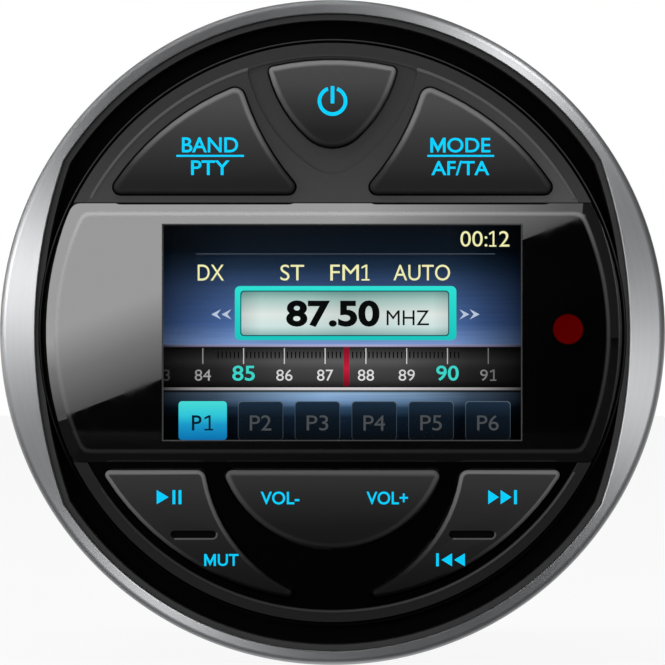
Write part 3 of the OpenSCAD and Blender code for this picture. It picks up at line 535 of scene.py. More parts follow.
def glossLens():
    material, shader = newMaterial("gloss_lens", IOR=1.8)
    place, axes = objectPlace(material)
    dark, light = lensGloss["colors"]
    depth = noise(material, place, lensGloss["depth"], detail=2)
    tone = ramp(material, depth, [(0.3, tint(dark)), (0.7, tint(light))])
    # painted highlight: a fine grey line where the bevel starts, lighter towards the top
    tall = reckon(material, "ABSOLUTE", axes["Z"])
    above = reckon(material, "SUBTRACT", lensGloss["highlightHeight"] * mm, tall)
    beyond = reckon(material, "SUBTRACT", lensGloss["highlightRadius"] * mm, fromAxis(material, axes))
    near = reckon(material, "SMOOTH_MIN", above, beyond, lensGloss["corner"] * mm)
    half = lensGloss["lineWidth"] / 2 * mm
    line = greyRamp(material, spread(material, near, -half, half), lensGloss["across"])
    tone = blend(material, tone, along(material, axes["Z"], lensGloss["line"]), line)
    join(material, tone, baseColor(material))
    roughen(material, shader, noise(material, place, lensGloss["haze"], detail=5), *lensGloss["rough"])
    return material


def clearWindow():
    material, shader = newMaterial("clear_window", Transmission_Weight=1.0, IOR=1.03, Base_Color=grey(1.0))
    place, _ = objectPlace(material)
    roughen(material, shader, noise(material, place, scale=500), low=0.0, high=0.01)
    return material


softCopy("lens_panel", "gloss_panel", glossLens(), 0)
dressNode("display_window", clearWindow())
dressNode("remote_window", grained("remote_red", "560000", 0.3, 0.4, grain=1500, bump=0.02,
                                   Specular_IOR_Level=0.0))
print("face made")

# keys and rockers, with painted shade that is lighter towards the top of each, and a painted highlight along
# each rim
# each key's tones by height are painted shade, lighter towards the top
keyLookAndShade = {"rough": (0.42, 0.52), "flatBand": 0.05, "cornerMerge": 0.4,
           "power": [(33.6, "161616"), (36.5, "1c1c1c"), (40.8, "2f2f2f"), (45.1, "424242"), (48, "474747")],
           "upper": [(24.5, "151515"), (27.5, "1b1b1b"), (35.8, "373737"), (41.2, "484848"), (44, "4a4a4a")],
           "rocker": [(-47, "040404"), (-42, "101010"), (-36, "1c1c1c"), (-31, "262626"), (-26, "313131")],
           "volume": [(-39, "060606"), (-34.6, "101010"), (-30.3, "202020"), (-26, "2d2d2d")]}
# tones of the painted highlight on each rim by height, and how it darkens as the rim falls away
keyRimHighlight = {"depth": 0.6, "fall": [(0.0, 1.0), (0.5, 0.9), (1.0, 0.3)],
          "width": {"power": 0.5, "upper": 0.5, "rocker": 0.2, "volume": 0.5},
          "power": [(33, "141414"), (42, "4c4c4c"), (48, "7c7c7c")],
          "upper": [(24.5, "161616"), (30, "343434"), (38, "727272"), (44, "767676")],
          "rocker": [(-47, "040404"), (-44, "0a0a0a"), (-40, "2c2c2c"), (-30, "606060"), (-25, "6c6c6c")],
          "volume": [(-39, "181818"), (-32, "303030"), (-25, "545454")]}
# the slot's color is a painted shade for its floor, and its edge colour is a painted highlight
fingerSlot = {"center": (25.1, -36.38), "length": 8.2, "width": 1.35, "depth": 0.9, "margin": 0.25,
              "color": "020202", "floorLift": 0.08, "cornerGap": 0.01,
              "edge": "505050", "highlightWidth": 0.3, "highlightTurn": 110, "highlightLift": 0.012}
keyTop = frontOf("power_key")


def keySatin(name):
    # painted highlight: the top lightens softly towards its rim; painted shade: the rim darkens as it falls
    # away
    material = shaded(name + "_satin", keyLookAndShade[name], *keyLookAndShade["rough"], Specular_IOR_Level=0.1)
    _, axes = objectPlace(material)
    fall = spread(material, axes["Y"], -keyTop * mm, (keyRimHighlight["depth"] - keyTop) * mm)
    light = along(material, axes["Z"], keyRimHighlight[name])
    light = times(material, light, greyRamp(material, fall, keyRimHighlight["fall"]))
    rim = add(material, "Attribute", attribute_name="rim").outputs["Fac"]
    tone = blend(material, baseColor(material).links[0].from_socket, light, rim)
    join(material, tone, baseColor(material))
    return material


def bySlot(v):
    (x, y), margin = fingerSlot["center"], fingerSlot["margin"]
    return (abs(abs(v.co.x) - x * mm) < (fingerSlot["length"] / 2 + margin) * mm
            and abs(v.co.z - y * mm) < (fingerSlot["width"] / 2 + margin) * mm)


def keyCap(node, look):
    bm = cadCopy(node)
    flatten(bm)
    rim = bm.verts.layers.float.new("rim")
    bm.normal_update()
    level = (keyLookAndShade["flatBand"] - keyTop) * mm
    top = [f for f in bm.faces if f.normal.y < -0.99 and f.calc_center_median().y < level]
    bmesh.ops.inset_region(bm, faces=top, thickness=keyRimHighlight["width"][look] * mm, use_even_offset=True,
                           use_boundary=True)
    inside = {v for f in top for v in f.verts}
    for v in bm.verts:
        v[rim] = 0.0 if v in inside or bySlot(v) else 1.0
    # the slot's edge gets no painted highlight, and tight corners of the highlight band close up
    inner = [v for v in bm.verts if v in inside]
    steps = [(v, e.other_vert(v)) for v in inner for e in v.link_edges]
    plain = {v: other for v, other in steps if other not in inside and bySlot(other)}
    corners = [v for v in inner if v not in plain]
    bmesh.ops.weld_verts(bm, targetmap=plain)
    bmesh.ops.remove_doubles(bm, verts=corners, dist=keyLookAndShade["cornerMerge"] * mm)
    cap = finishPiece(bm, node + "_cap", nodes[node]["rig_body"], keyFinish[look], stood=False)
    keepFlats(cap)
    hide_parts(node)


keyFinish = {name: keySatin(name) for name in ("power", "upper", "rocker", "volume")}
for node, look in (("power_key", "power"), ("band_key", "upper"), ("mode_key", "upper"),
                   ("play_rocker", "rocker"), ("volume_rocker", "volume"), ("seek_rocker", "rocker")):
    keyCap(node, look)

# painted shade: a dark sheet on the floor of each finger slot; painted highlight: a pale strip along the
# slot's low side and right end
slotPaintedShade = grained("slot_painted_shade", fingerSlot["color"], 0.6, 0.7, Specular_IOR_Level=0.05)
slotPaintedHighlight = grained("slot_painted_highlight", fingerSlot["edge"], 0.45, 0.55, Specular_IOR_Level=0.1)
halfX, halfY = fingerSlot["length"] / 2, fingerSlot["width"] / 2
slotZ = keyTop - fingerSlot["depth"] + fingerSlot["floorLift"]
edge, highlightZ, straight = fingerSlot["highlightWidth"], keyTop + fingerSlot["highlightLift"], halfX - halfY
for node, side in (("play_rocker", -1), ("seek_rocker", 1)):
    x, y = side * fingerSlot["center"][0], fingerSlot["center"][1]
    bm = bmesh.new()
    tile(bm, x - halfX, y - halfY, x + halfX, y + halfY, slotZ, halfY - fingerSlot["cornerGap"])
    printed(bm, node + "_slot", node, slotPaintedShade)
    bm = bmesh.new()
    tile(bm, x - straight, y - halfY - edge, x + straight, y - halfY, highlightZ)
    sweep(bm, [(halfY, highlightZ), (halfY + edge, highlightZ)], turn=fingerSlot["highlightTurn"], start=-90, steps=16,
          center=(x + straight, y))
    printed(bm, node + "_slot_painted_highlight", node, slotPaintedHighlight)

legend = {"color": "00cfff", "grain": 1200, "lift": 0.02, "bold": 0.014, "stroke": 0.5, "glow": 0.12}
inkZ = keyTop + legend["lift"]


def legendInk():
    material, shader = newMaterial("legend_blue", Roughness=0.5, Emission_Strength=legend["glow"],
                                   Specular_IOR_Level=0.05)
    place, _ = objectPlace(material)
    tone = uneven(material, noise(material, place, legend["grain"]), legend["color"], 0.9)
    join(material, tone, baseColor(material))
    join(material, tone, shader.inputs["Emission Color"])
    return material


ink = legendInk()

# power sign: broken ring and a bar
powerSign = {"center": (0, 41.72), "outer": 2.68, "stroke": 0.67, "gap": 0.81, "bar": (41.29, 44.43)}
stroke = powerSign["stroke"]
gapTurn = math.degrees(math.asin(powerSign["gap"] / (powerSign["outer"] - stroke / 2)))
bm = bmesh.new()
sweep(bm, [(powerSign["outer"] - stroke, inkZ), (powerSign["outer"], inkZ)], turn=360 - 2 * gapTurn,
      start=90 + gapTurn, steps=60, center=powerSign["center"])
tile(bm, -stroke / 2, powerSign["bar"][0], stroke / 2, powerSign["bar"][1], inkZ)
printed(bm, "power_sign", "power_key", ink)

# words as (text, left, low, right, high)
keyWords = {"band": [("BAND", -27.14, 32.46, -17.02, 35.19), ("PTY", -25.5, 28.38, -18.53, 31.02)],
            "mode": [("ODE", 20.68, 32.43, 28.46, 35.11), ("AF/TA", 17.81, 28.33, 28.28, 30.93)],
            "modeM": (17.63, 32.43, 20.4, 35.11),
            "lines": {"band": (-28.15, -15.95), "mode": (17.09, 29.14)}, "lineY": 31.84, "lineWidth": 0.36}
for key in ("band", "mode"):
    bm = bmesh.new()
    for text, *box in keyWords[key]:
        words(bm, text, *box, inkZ, legend["bold"])
    if key == "mode":
        letterM(bm, *keyWords["modeM"], inkZ, legend["stroke"])
    lineFrom, lineTo = keyWords["lines"][key]
    half = keyWords["lineWidth"] / 2
    tile(bm, lineFrom, keyWords["lineY"] - half, lineTo, keyWords["lineY"] + half, inkZ)
    printed(bm, key + "_legend", key + "_key", ink)

# rocker signs: (tail, tip) of triangles, (left, right) of bars and words
rockerSigns = {"row": (-30.95, -28.4), "lowRow": (-42.15, -39.8),
               "play": {"triangles": [(-31.69, -29.54)], "bars": [(-28.85, -28.33), (-27.75, -27.23)]},
               "next": {"triangles": [(28.06, 29.99), (30.3, 32.25)], "bars": [(32.72, 33.24)]},
               "last": {"triangles": [(21.56, 19.63), (23.86, 21.92)], "bars": [(18.68, 19.16)]},
               "muteRow": (-42.08, -39.93), "muteM": (-23.13, -21.02), "muteStroke": 0.8,
               "mute": [("UT", -20.68, -16.94)],
               "volumeRow": (-31.0, -28.67), "volume": [("VOL-", -12.94, -5.97), ("VOL+", 6.14, 13.59)]}


def sign(bm, name, row):
    low, high = rockerSigns[row]
    for tail, tip in rockerSigns[name]["triangles"]:
        triangle(bm, tail, low, tip, high, inkZ)
    for left, right in rockerSigns[name]["bars"]:
        tile(bm, left, low, right, high, inkZ)


def rockerWords(bm, name):
    low, high = rockerSigns[name + "Row"]
    for text, left, right in rockerSigns[name]:
        words(bm, text, left, low, right, high, inkZ, legend["bold"])


bm = bmesh.new()
sign(bm, "play", "row")
(left, right), (low, high) = rockerSigns["muteM"], rockerSigns["muteRow"]
letterM(bm, left, low, right, high, inkZ, rockerSigns["muteStroke"] * legend["stroke"])
rockerWords(bm, "mute")
printed(bm, "play_legend", "play_rocker", ink)

bm = bmesh.new()
rockerWords(bm, "volume")
printed(bm, "volume_legend", "volume_rocker", ink)

bm = bmesh.new()
sign(bm, "next", "row")
sign(bm, "last", "lowRow")
printed(bm, "seek_legend", "seek_rocker", ink)
print("keys and legends made")

# the screen's page, laid out in the panel's own dots, from its top left corner
page = {"dots": (400, 240), "layer": 0.008, "lift": 0.01, "ledge": 0.9, "front": frontOf("lcd_panel"),
        "patch": 90, "streaks": (60, 1, 2600), "border": 1.1}
pageWide, pageTall = page["dots"]
low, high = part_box("display_window")
screenLeft, screenTop = low.x / mm + page["ledge"], high.z / mm - page["ledge"]
dotX = ((high.x - low.x) / mm - 2 * page["ledge"]) / pageWide
dotY = ((high.z - low.z) / mm - 2 * page["ledge"]) / pageTall


def across(u):
    return screenLeft + u * dotX


def down(v):
    return screenTop - v * dotY


def layer(n):
    return page["front"] + page["lift"] + n * page["layer"]


def onPage(u0, v0, u1, v1, n):
    return across(u0), down(v1), across(u1), down(v0), layer(n)


def dots(bm, u0, v0, u1, v1, n, corner=0):
    tile(bm, *onPage(u0, v0, u1, v1, n), corner * dotX)


def pageWords(bm, text, u0, v0, u1, v1, n, weight=0.0):
    words(bm, text, *onPage(u0, v0, u1, v1, n), weight)


def pageOne(bm, u0, v0, u1, v1, n, stroke):
    figureOne(bm, *onPage(u0, v0, u1, v1, n), stroke * dotX)


def pagePiece(bm, name, material):
    printed(bm, name, "housing", material)


def pageBlocks(name, material, n, boxes, corner=0):
    bm = bmesh.new()
    for box in boxes:
        dots(bm, *box, n, corner)
    pagePiece(bm, name, material)


def pageLight(name):
    return newMaterial(name, Base_Color=grey(0.0), Roughness=0.5, Specular_IOR_Level=0.0,
                       Emission_Strength=1.0)


def lit(name, color):
    # plain ink of the page: its own light, a shade uneven as a backlight is
    material, shader = pageLight(name)
    place, _ = objectPlace(material)
    tone = uneven(material, noise(material, place, page["patch"], detail=2), color, 0.93)
    join(material, tone, shader.inputs["Emission Color"])
    return material


def pageRamp(name, stops, sides=None, streak=0.0):
    # light that changes down the page, and towards its sides
    material, shader = pageLight(name)
    place, axes = objectPlace(material)
    tone = along(material, axes["Z"], stops, place=down)
    if sides:
        tone = times(material, tone, along(material, axes["X"], sides, grey, across))
    stretch = add(material, "Mapping", {"Vector": place, "Scale": page["streaks"]}).outputs["Vector"]
    lines = specks(material, noise(material, stretch, scale=1.0, detail=2), 1 - streak)
    join(material, times(material, tone, lines), shader.inputs["Emission Color"])
    return material


sky = {"stops": [(0, "0b0e14"), (30, "0c1620"), (48, "1d2f46"), (75, "3a527c"), (110, "4a69a2"),
                 (134, "7c9bd2")],
       "sides": [(0, 0.2), (40, 0.6), (80, 1.0), (320, 1.0), (360, 0.5), (400, 0.12)],
       "glow": [(183, "2c3834"), (185, "2c3834"), (187, "96b8dc"), (195, "7c9fc8"), (203, "34506c"),
                (214, "142132"), (240, "060a0e")],
       "glowSides": [(0, 0.02), (60, 0.18), (120, 0.55), (180, 1.0), (220, 0.9), (280, 0.62), (340, 0.16),
                     (400, 0.01)], "streak": 0.12}
skyLow = sky["glow"][0][0]
pageBlocks("page_sky", pageRamp("page_sky", sky["stops"], sky["sides"], sky["streak"]), 0,
           [(0, 0, pageWide, skyLow)])
pageBlocks("page_glow", pageRamp("page_glow", sky["glow"], sky["glowSides"], sky["streak"]), 0,
           [(0, skyLow, pageWide, pageTall)])

dial = {"top": 134.7, "low": 181.2, "from": 45.0, "pitch": 45.35, "first": 84, "count": 8,
        "marks": (137.3, 154.8), "markHalf": 0.6, "short": (141.2, 148.4), "shortHalf": 0.7,
        "shortStep": 4.535, "shortFrom": 62, "shortTo": 333,
        "figures": (161.0, 173.4), "figureHalf": 9, "cutFigure": ("3", 1.6, 8.4),
        "withOne": 91, "nineEnd": -0.5, "oneFrom": 2, "oneStroke": 1.7,
        "large": (85, 90), "largeFigures": (156.6, 173.4), "largeHalf": 12.5, "largeBold": 0.012,
        "tones": [(134.7, "0a0a0a"), (140, "2c2c2c"), (152, "4a4a4a"), (160, "3a3a3a"), (172, "303030"),
                  (181.2, "101010")],
        "sides": [(0, 0.05), (60, 0.4), (140, 1.3), (200, 1.5), (260, 1.3), (340, 0.4), (400, 0.05)]}
pageBlocks("page_dial", pageRamp("page_dial", dial["tones"], dial["sides"]), 1,
           [(0, dial["top"], pageWide, dial["low"])])

rails = {"rows": [(133.4, 136.0), (180.8, 183.8)],
         "sides": [(0, 0.05), (50, 0.5), (150, 1.0), (250, 1.0), (350, 0.5), (400, 0.05)],
         "tones": [(133.4, "b9b4d8"), (136, "8a86a8"), (180.8, "d6d2d6"), (183.8, "cac6ca")]}
pageBlocks("page_rails", pageRamp("page_rails", rails["tones"], rails["sides"]), 2,
           [(0, top, pageWide, bottom) for top, bottom in rails["rows"]])

numberTone = {"tones": [(134, "c8c8c8"), (181, "e8e8e8")],
              "sides": [(0, 0.03), (12, 0.06), (40, 0.4), (90, 0.8), (180, 1.0), (240, 1.0), (310, 0.8),
                        (360, 0.25), (380, 0.12)]}
bm = bmesh.new()
top, bottom = dial["figures"]
text, left, right = dial["cutFigure"]  # end of the number that the edge cuts
pageWords(bm, text, left, top, right, bottom, 3)
half, markHalf = dial["figureHalf"], dial["markHalf"]
for i in range(dial["count"]):
    u = dial["from"] + i * dial["pitch"]
    dots(bm, u - markHalf, dial["marks"][0], u + markHalf, dial["marks"][1], 3)
    number = dial["first"] + i
    if number == dial["withOne"]:
        pageWords(bm, str(number)[0], u - half, top, u + dial["nineEnd"], bottom, 3)
        pageOne(bm, u + dial["oneFrom"], top, u + half, bottom, 3, dial["oneStroke"])
    elif number not in dial["large"]:
        pageWords(bm, str(number), u - half, top, u + half, bottom, 3)
pagePiece(bm, "page_numbers", pageRamp("page_numbers", numberTone["tones"], numberTone["sides"]))

steps = int((dial["shortTo"] - dial["shortFrom"]) / dial["shortStep"])
ticks = [dial["shortFrom"] + i * dial["shortStep"] for i in range(steps + 1)]
(top, bottom), half = dial["short"], dial["shortHalf"]
pageBlocks("page_ticks", lit("page_black", "080808"), 2, [(u - half, top, u + half, bottom) for u in ticks])

bm = bmesh.new()
(top, bottom), half = dial["largeFigures"], dial["largeHalf"]
for number in dial["large"]:
    u = dial["from"] + (number - dial["first"]) * dial["pitch"]
    pageWords(bm, str(number), u - half, top, u + half, bottom, 3, dial["largeBold"])
pagePiece(bm, "page_large_numbers", lit("page_teal", "3fd8cc"))

needle = {"box": (201.6, 136, 208, 179.5), "corner": 0.8,
          "tones": [(136, "7a0f22"), (160, "c02038"), (179, "6a0a1a")]}
pageBlocks("page_needle", pageRamp("page_needle", needle["tones"]), 4, [needle["box"]], needle["corner"])

tuned = {"outer": (80.6, 68.6, 327, 128.5), "corner": 5.7, "frame": [(68.6, "2fe0d4"), (128.5, "1cc4bc")],
         "inner": (87.9, 74.8, 317.8, 122.8), "innerCorner": 3.2, "line": 1.2, "lineCorner": 4,
         "tones": [(74.8, "6fa099"), (84, "a9c8c2"), (100, "dfe8e4"), (113, "cfe4e2"), (122.8, "8fb8b4")],
         "sides": [(88, 0.75), (110, 1.0), (160, 0.95), (205, 0.8), (250, 0.9), (300, 1.0), (318, 0.8)],
         "figures": ("87.50", 137.7, 84.4, 241.6, 114), "bold": 0.035,
         "unit": ("MHZ", 249.4, 95.5, 296.6, 112)}
u0, v0, u1, v1 = tuned["inner"]
line = tuned["line"]
pageBlocks("page_box", pageRamp("page_box", tuned["frame"]), 2, [tuned["outer"]], tuned["corner"])
pageBlocks("page_box_line", lit("page_box_line", "12545c"), 3,
           [(u0 - line, v0 - line, u1 + line, v1 + line)], tuned["lineCorner"])
pageBlocks("page_box_face", pageRamp("page_box_face", tuned["tones"], tuned["sides"]), 4, [tuned["inner"]],
           tuned["innerCorner"])

bm = bmesh.new()
pageWords(bm, *tuned["figures"], 5, tuned["bold"])
pageWords(bm, *tuned["unit"], 5)
pagePiece(bm, "page_frequency", lit("page_ink", "0a0c0c"))

# status lines: words and the figure one as (left, right)
flags = {"row": (44.9, 62.5), "one": (221.5, 230.5), "stroke": 2.0,
         "words": [("DX", 39.3, 68.5), ("ST", 131.3, 157.6), ("FM", 186.8, 218.6), ("AUTO", 257, 320)]}
clock = {"row": (7.7, 25), "one": (363.5, 371.5), "stroke": 2.0,
         "words": [("00:", 331.5, 361.5), ("2", 374.5, 386)]}
bm = bmesh.new()
for status in (flags, clock):
    (top, bottom), (left, right) = status["row"], status["one"]
    for text, u0, u1 in status["words"]:
        pageWords(bm, text, u0, top, u1, bottom, 2)
    pageOne(bm, left, top, right, bottom, 2, status["stroke"])
pagePiece(bm, "page_flags", lit("page_yellow", "f2efb4"))

rule = (37.5, 32.6, 370, 33.5)
pageBlocks("page_rule", lit("page_rule", "4a515c"), 1, [rule])

arrows = {"left": (54.4, 65.8), "right": (330.4, 341.8), "rows": (94.2, 105.6), "width": 11.0}
bm = bmesh.new()
top, bottom = arrows["rows"]
for u in arrows["left"]:
    arrowHead(bm, across(u + arrows["width"]), down(bottom), across(u), down(top), layer(2))
for u in arrows["right"]:
    arrowHead(bm, across(u), down(bottom), across(u + arrows["width"]), down(top), layer(2))
pagePiece(bm, "page_arrows", lit("page_white", "bcc8dc"))

tabs = {"top": 196, "low": 239, "corner": 4, "edge": 0.8, "words": (211.6, 228.4), "wordWidth": 24,
        "first": (18, 71.8), "firstLetter": (32.8, 43.6), "bold": 0.01,
        "firstOne": (46.8, 56.4), "stroke": 2.3,
        "from": 84, "pitch": 63.2, "width": 50.5, "count": 5,
        "lit": [(196, "49dcd6"), (212, "2fc4d8"), (222, "1a98c8"), (239, "0a6fae")],
        "edges": [(196, "56646f"), (206, "3c4854"), (239, "2a3238")],
        "faces": [(196, "1d2d3e"), (214, "0e1822"), (239, "080c10")]}
top, bottom, corner, edge = tabs["top"], tabs["low"], tabs["corner"], tabs["edge"]
wordTop, wordLow = tabs["words"]
pageBlocks("page_tab_lit", pageRamp("page_tab_lit", tabs["lit"]), 2,
           [(tabs["first"][0], top, tabs["first"][1], bottom)], corner)
bm = bmesh.new()
pageWords(bm, "P", tabs["firstLetter"][0], wordTop, tabs["firstLetter"][1], wordLow, 3, tabs["bold"])
pageOne(bm, tabs["firstOne"][0], wordTop, tabs["firstOne"][1], wordLow, 3, tabs["stroke"])
pagePiece(bm, "page_tab_lit_word", lit("page_tab_ink", "0a2030"))
starts = [tabs["from"] + i * tabs["pitch"] for i in range(tabs["count"])]
spans = [(u, u + tabs["width"]) for u in starts]
pageBlocks("page_tab_edges", pageRamp("page_tab_edges", tabs["edges"]), 1,
           [(u0, top, u1, bottom) for u0, u1 in spans], corner)
pageBlocks("page_tab_faces", pageRamp("page_tab_faces", tabs["faces"]), 2,
           [(u0 + edge, top + edge, u1 - edge, bottom) for u0, u1 in spans], corner)
bm = bmesh.new()
for i, (u0, u1) in enumerate(spans):
    left = (u0 + u1 - tabs["wordWidth"]) / 2
    pageWords(bm, "P%d" % (i + 2), left, wordTop, left + tabs["wordWidth"], wordLow, 3)
pagePiece(bm, "page_tab_words", lit("page_grey", "4a4d50"))

# painted highlight: a thin grey frame round the page stands in for light caught on the window's edge
border = page["border"]
pageBlocks("page_edge_highlight", lit("page_edge_highlight", "444444"), 6,
           [(0, 0, pageWide, border), (0, pageTall - border, pageWide, pageTall),
            (0, 0, border, pageTall), (pageWide - border, 0, pageWide, pageTall)])
print("screen page made")

# everything else keeps its solid, softened where it shows, with a finish of its own
# finish: colour, roughness from and to, grain, bump and metal
finishTable = {
    "barrel_plastic": ("171718", 0.45, 0.6, 1600, 0.3, 0.0),
    "stainless": ("b8babd", 0.24, 0.36, 3000, 0.03, 1.0),
    "plated_steel": ("aeb0b4", 0.28, 0.42, 3500, 0.04, 1.0),
    "cover_metal": ("3c3d40", 0.45, 0.6, 1800, 0.25, 0.6),
    "gasket_rubber": ("161616", 0.7, 0.85, 1500, 0.2, 0.0),
    "foot_rubber": ("141414", 0.65, 0.8, 2200, 0.2, 0.0),
    "foam": ("3a3a40", 0.85, 0.95, 1100, 0.5, 0.0),
    "board_green": ("0f4a26", 0.3, 0.42, 800, 0.1, 0.0),
    "part_black": ("1a1a1c", 0.5, 0.65, 2400, 0.15, 0.0),
    "lamp_white": ("e8f0f4", 0.3, 0.4, 2600, 0.15, 0.0),
    "mat_silicone": ("111112", 0.6, 0.75, 1600, 0.15, 0.0),
    "brass": ("c9a24a", 0.25, 0.38, 2600, 0.04, 1.0),
    "pad_blue": ("8fb4cc", 0.75, 0.88, 1300, 0.3, 0.0),
    "cap_sleeve": ("20263c", 0.3, 0.4, 2000, 0.05, 0.0),
    "choke_wire": ("8a4a22", 0.3, 0.45, 1400, 0.4, 0.0),
    "module_blue": ("20407a", 0.35, 0.5, 900, 0.1, 0.0),
    "ribbon_grey": ("9a9a9e", 0.5, 0.6, 1800, 0.15, 0.0),
    "screen_glass": ("0a0d12", 0.2, 0.3, 600, 0.0, 0.0),
    "collar_red": ("a01818", 0.35, 0.5, 1800, 0.08, 0.0),
    "collar_white": ("d6d6d2", 0.35, 0.5, 1800, 0.08, 0.0),
}
finishes = {"black_plastic": blackPlastic}
for name, (color, low, high, grain, bump, metal) in finishTable.items():
    finishes[name] = grained(name, color, low, high, grain, bump, Metallic=metal)
finishes["dark_pin"] = grained("dark_pin", "0c0c0d", 0.45, 0.6, 3500, 0.04, Specular_IOR_Level=0.1)
plainNodes = {
    "black_plastic": ["front_frame"],
    "gasket_rubber": ["dash_gasket", "barrel_seal", "rear_seal"],
    "screen_glass": ["lcd_panel"],
    "plated_steel": ["lcd_frame", "fascia_screws", "front_board_screws", "frame_screws", "board_screws",
                     "tuner_can"],
    "dark_pin": ["rocker_pins"],
    "foam": ["display_cushion"],
    "board_green": ["front_board", "main_board"],
    "part_black": ["key_switches", "remote_receiver", "amplifier_chip", "control_chip", "ribbon_headers"],
    "lamp_white": ["key_lamps"],
    "mat_silicone": ["upper_key_mat", "lower_key_mat"],
    "brass": ["board_standoffs", "wiring_blades"],
    "pad_blue": ["thermal_pad"],
    "cap_sleeve": ["filter_capacitors"],
    "choke_wire": ["power_choke"],
    "module_blue": ["wireless_module"],
    "ribbon_grey": ["ribbon_cable"],
}
for finish, names in plainNodes.items():
    for node in names:
        dressNode(node, finishes[finish])

# node: finish, rounding of its edges, and slot
softened = {
    "barrel": ("barrel_plastic", 0.3, "black_plastic"),
    "rear_cover": ("cover_metal", 0.35, "cover_metal"),
    "clamp_bracket": ("stainless", 0.25, "stainless"),
    "bracket_feet": ("foot_rubber", 0.4, "seal_rubber"),
    "wiring_socket": ("part_black", 0.25, "part_black"),
    "aerial_socket": ("plated_steel", 0.3, "plated_steel"),
    "line_out_jacks": ("brass", 0.25, "brass"),
    "flat_washers": ("stainless", 0.15, "stainless"),
    "left_wing_nut": ("stainless", 0.4, "stainless"),
    "right_wing_nut": ("stainless", 0.4, "stainless"),
    "rear_screws": ("stainless", 0.4, "stainless"),
}
for node, (finish, edge, slot) in softened.items():
    softCopy(node, node + "_soft", finishes[finish], edge, segments=3)

# threaded studs
stud = {"x": 32.0, "core": 2.12, "coreSteps": 24, "tip": 0.5, "chamfer": 0.7, "end": backOf("bracket_studs"),
        "crest": 2.48, "crestFrom": 0.45, "crestTo": 0.55, "sink": 0.06, "pitch": 0.8, "turnSteps": 20,
        "root": backOf("rear_cover") + 5, "bare": 1,
        "headRadius": 4.4, "headFront": frontOf("bracket_studs"), "headDepth": 3, "coreInHead": 1}
core, crest, pitch, root, end = (stud[key] for key in ("core", "crest", "pitch", "root", "end"))
threadTurns = int((root - end - stud["bare"]) / pitch)
foot, headEnd = core - stud["sink"], stud["headFront"] - stud["coreInHead"]
bm = bmesh.new()
for x in (-stud["x"], stud["x"]):
    sweep(bm, [(0, end), (core - stud["tip"], end), (core, end + stud["chamfer"]), (core, headEnd),
               (0, headEnd)], steps=stud["coreSteps"], center=(x, 0))
    sweep(bm, [(foot, root), (crest, root - stud["crestFrom"] * pitch),
               (crest, root - stud["crestTo"] * pitch), (foot, root - pitch)], turn=360 * threadTurns,
          steps=threadTurns * stud["turnSteps"], center=(x, 0), rise=-threadTurns * pitch)
    head = Matrix.Translation((x, 0, stud["headFront"] - stud["headDepth"] / 2))
    bmesh.ops.create_cone(bm, cap_ends=True, segments=6, radius1=stud["headRadius"],
                          radius2=stud["headRadius"], depth=stud["headDepth"], matrix=head)
closeUp(bm)
studs = finishPiece(bm, "threaded_studs", "housing", finishes["stainless"])
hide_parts("bracket_studs")

# split spring washers
springWasher = {"inner": 2.75, "outer": 4.6, "thick": 1.2, "sink": 0.02, "turn": 342, "start": 80,
                "twist": 0.25}
inner, outer = springWasher["inner"], springWasher["outer"]
top = frontOf("spring_washers") - springWasher["sink"]
low = top - springWasher["thick"]
bm = bmesh.new()
for x in (-stud["x"], stud["x"]):
    sweep(bm, [(inner, top), (outer, top), (outer, low), (inner, low), (inner, top)],
          turn=springWasher["turn"], start=springWasher["start"], steps=48, center=(x, 0),
          rise=-springWasher["twist"])
bmesh.ops.remove_doubles(bm, verts=bm.verts, dist=drawnGap)
bmesh.ops.holes_fill(bm, edges=bm.edges, sides=0)
bmesh.ops.recalc_face_normals(bm, faces=bm.faces)
springs = finishPiece(bm, "split_washers", "clamp", finishes["stainless"])
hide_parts("spring_washers")

# coloured collars of the phono jacks, and the insulators in them
jack = {"red": 12.0, "white": 25.5, "y": -17.5, "inner": 4.2, "outer": 5.8, "base": -64.75, "tall": 1.5,
        "lip": 0.4, "bore": 1.65, "insulator": 3.0, "face": backOf("line_out_jacks"), "foot": 0.3,
        "rise": 0.12}
inner, outer, base, lip = (jack[key] for key in ("inner", "outer", "base", "lip"))
top, bore, insulator = base - jack["tall"], jack["bore"], jack["insulator"]
foot, face = jack["face"] + jack["foot"], jack["face"] - jack["rise"]
for color in ("red", "white"):
    center = (jack[color], jack["y"])
    bm = bmesh.new()
    sweep(bm, [(inner, base), (outer, base), (outer, top + lip), (outer - lip, top), (inner, top),
               (inner, base)], steps=48, center=center)
    sweep(bm, [(bore, foot), (insulator, foot), (insulator, face), (bore, face), (bore, foot)],
          steps=48, center=center)
    closeUp(bm)
    finishPiece(bm, "jack_collar_" + color, "housing", finishes["collar_" + color])

# contact of the aerial socket
aerial = {"center": (17.0, -30.0), "seat": -57.2, "disc": 4.05, "thick": 1.2, "pin": 0.8, "tip": -67.0,
          "point": 0.5, "pointRadius": 0.4}
seat, disc, pin, tip = (aerial[key] for key in ("seat", "disc", "pin", "tip"))
top = seat - aerial["thick"]
bm = bmesh.new()
sweep(bm, [(0, seat), (disc, seat), (disc, top), (pin, top), (pin, tip + aerial["point"]),
           (aerial["pointRadius"], tip), (0, tip)], steps=32, center=aerial["center"])
closeUp(bm)
finishPiece(bm, "aerial_contact", "housing", finishes["brass"])

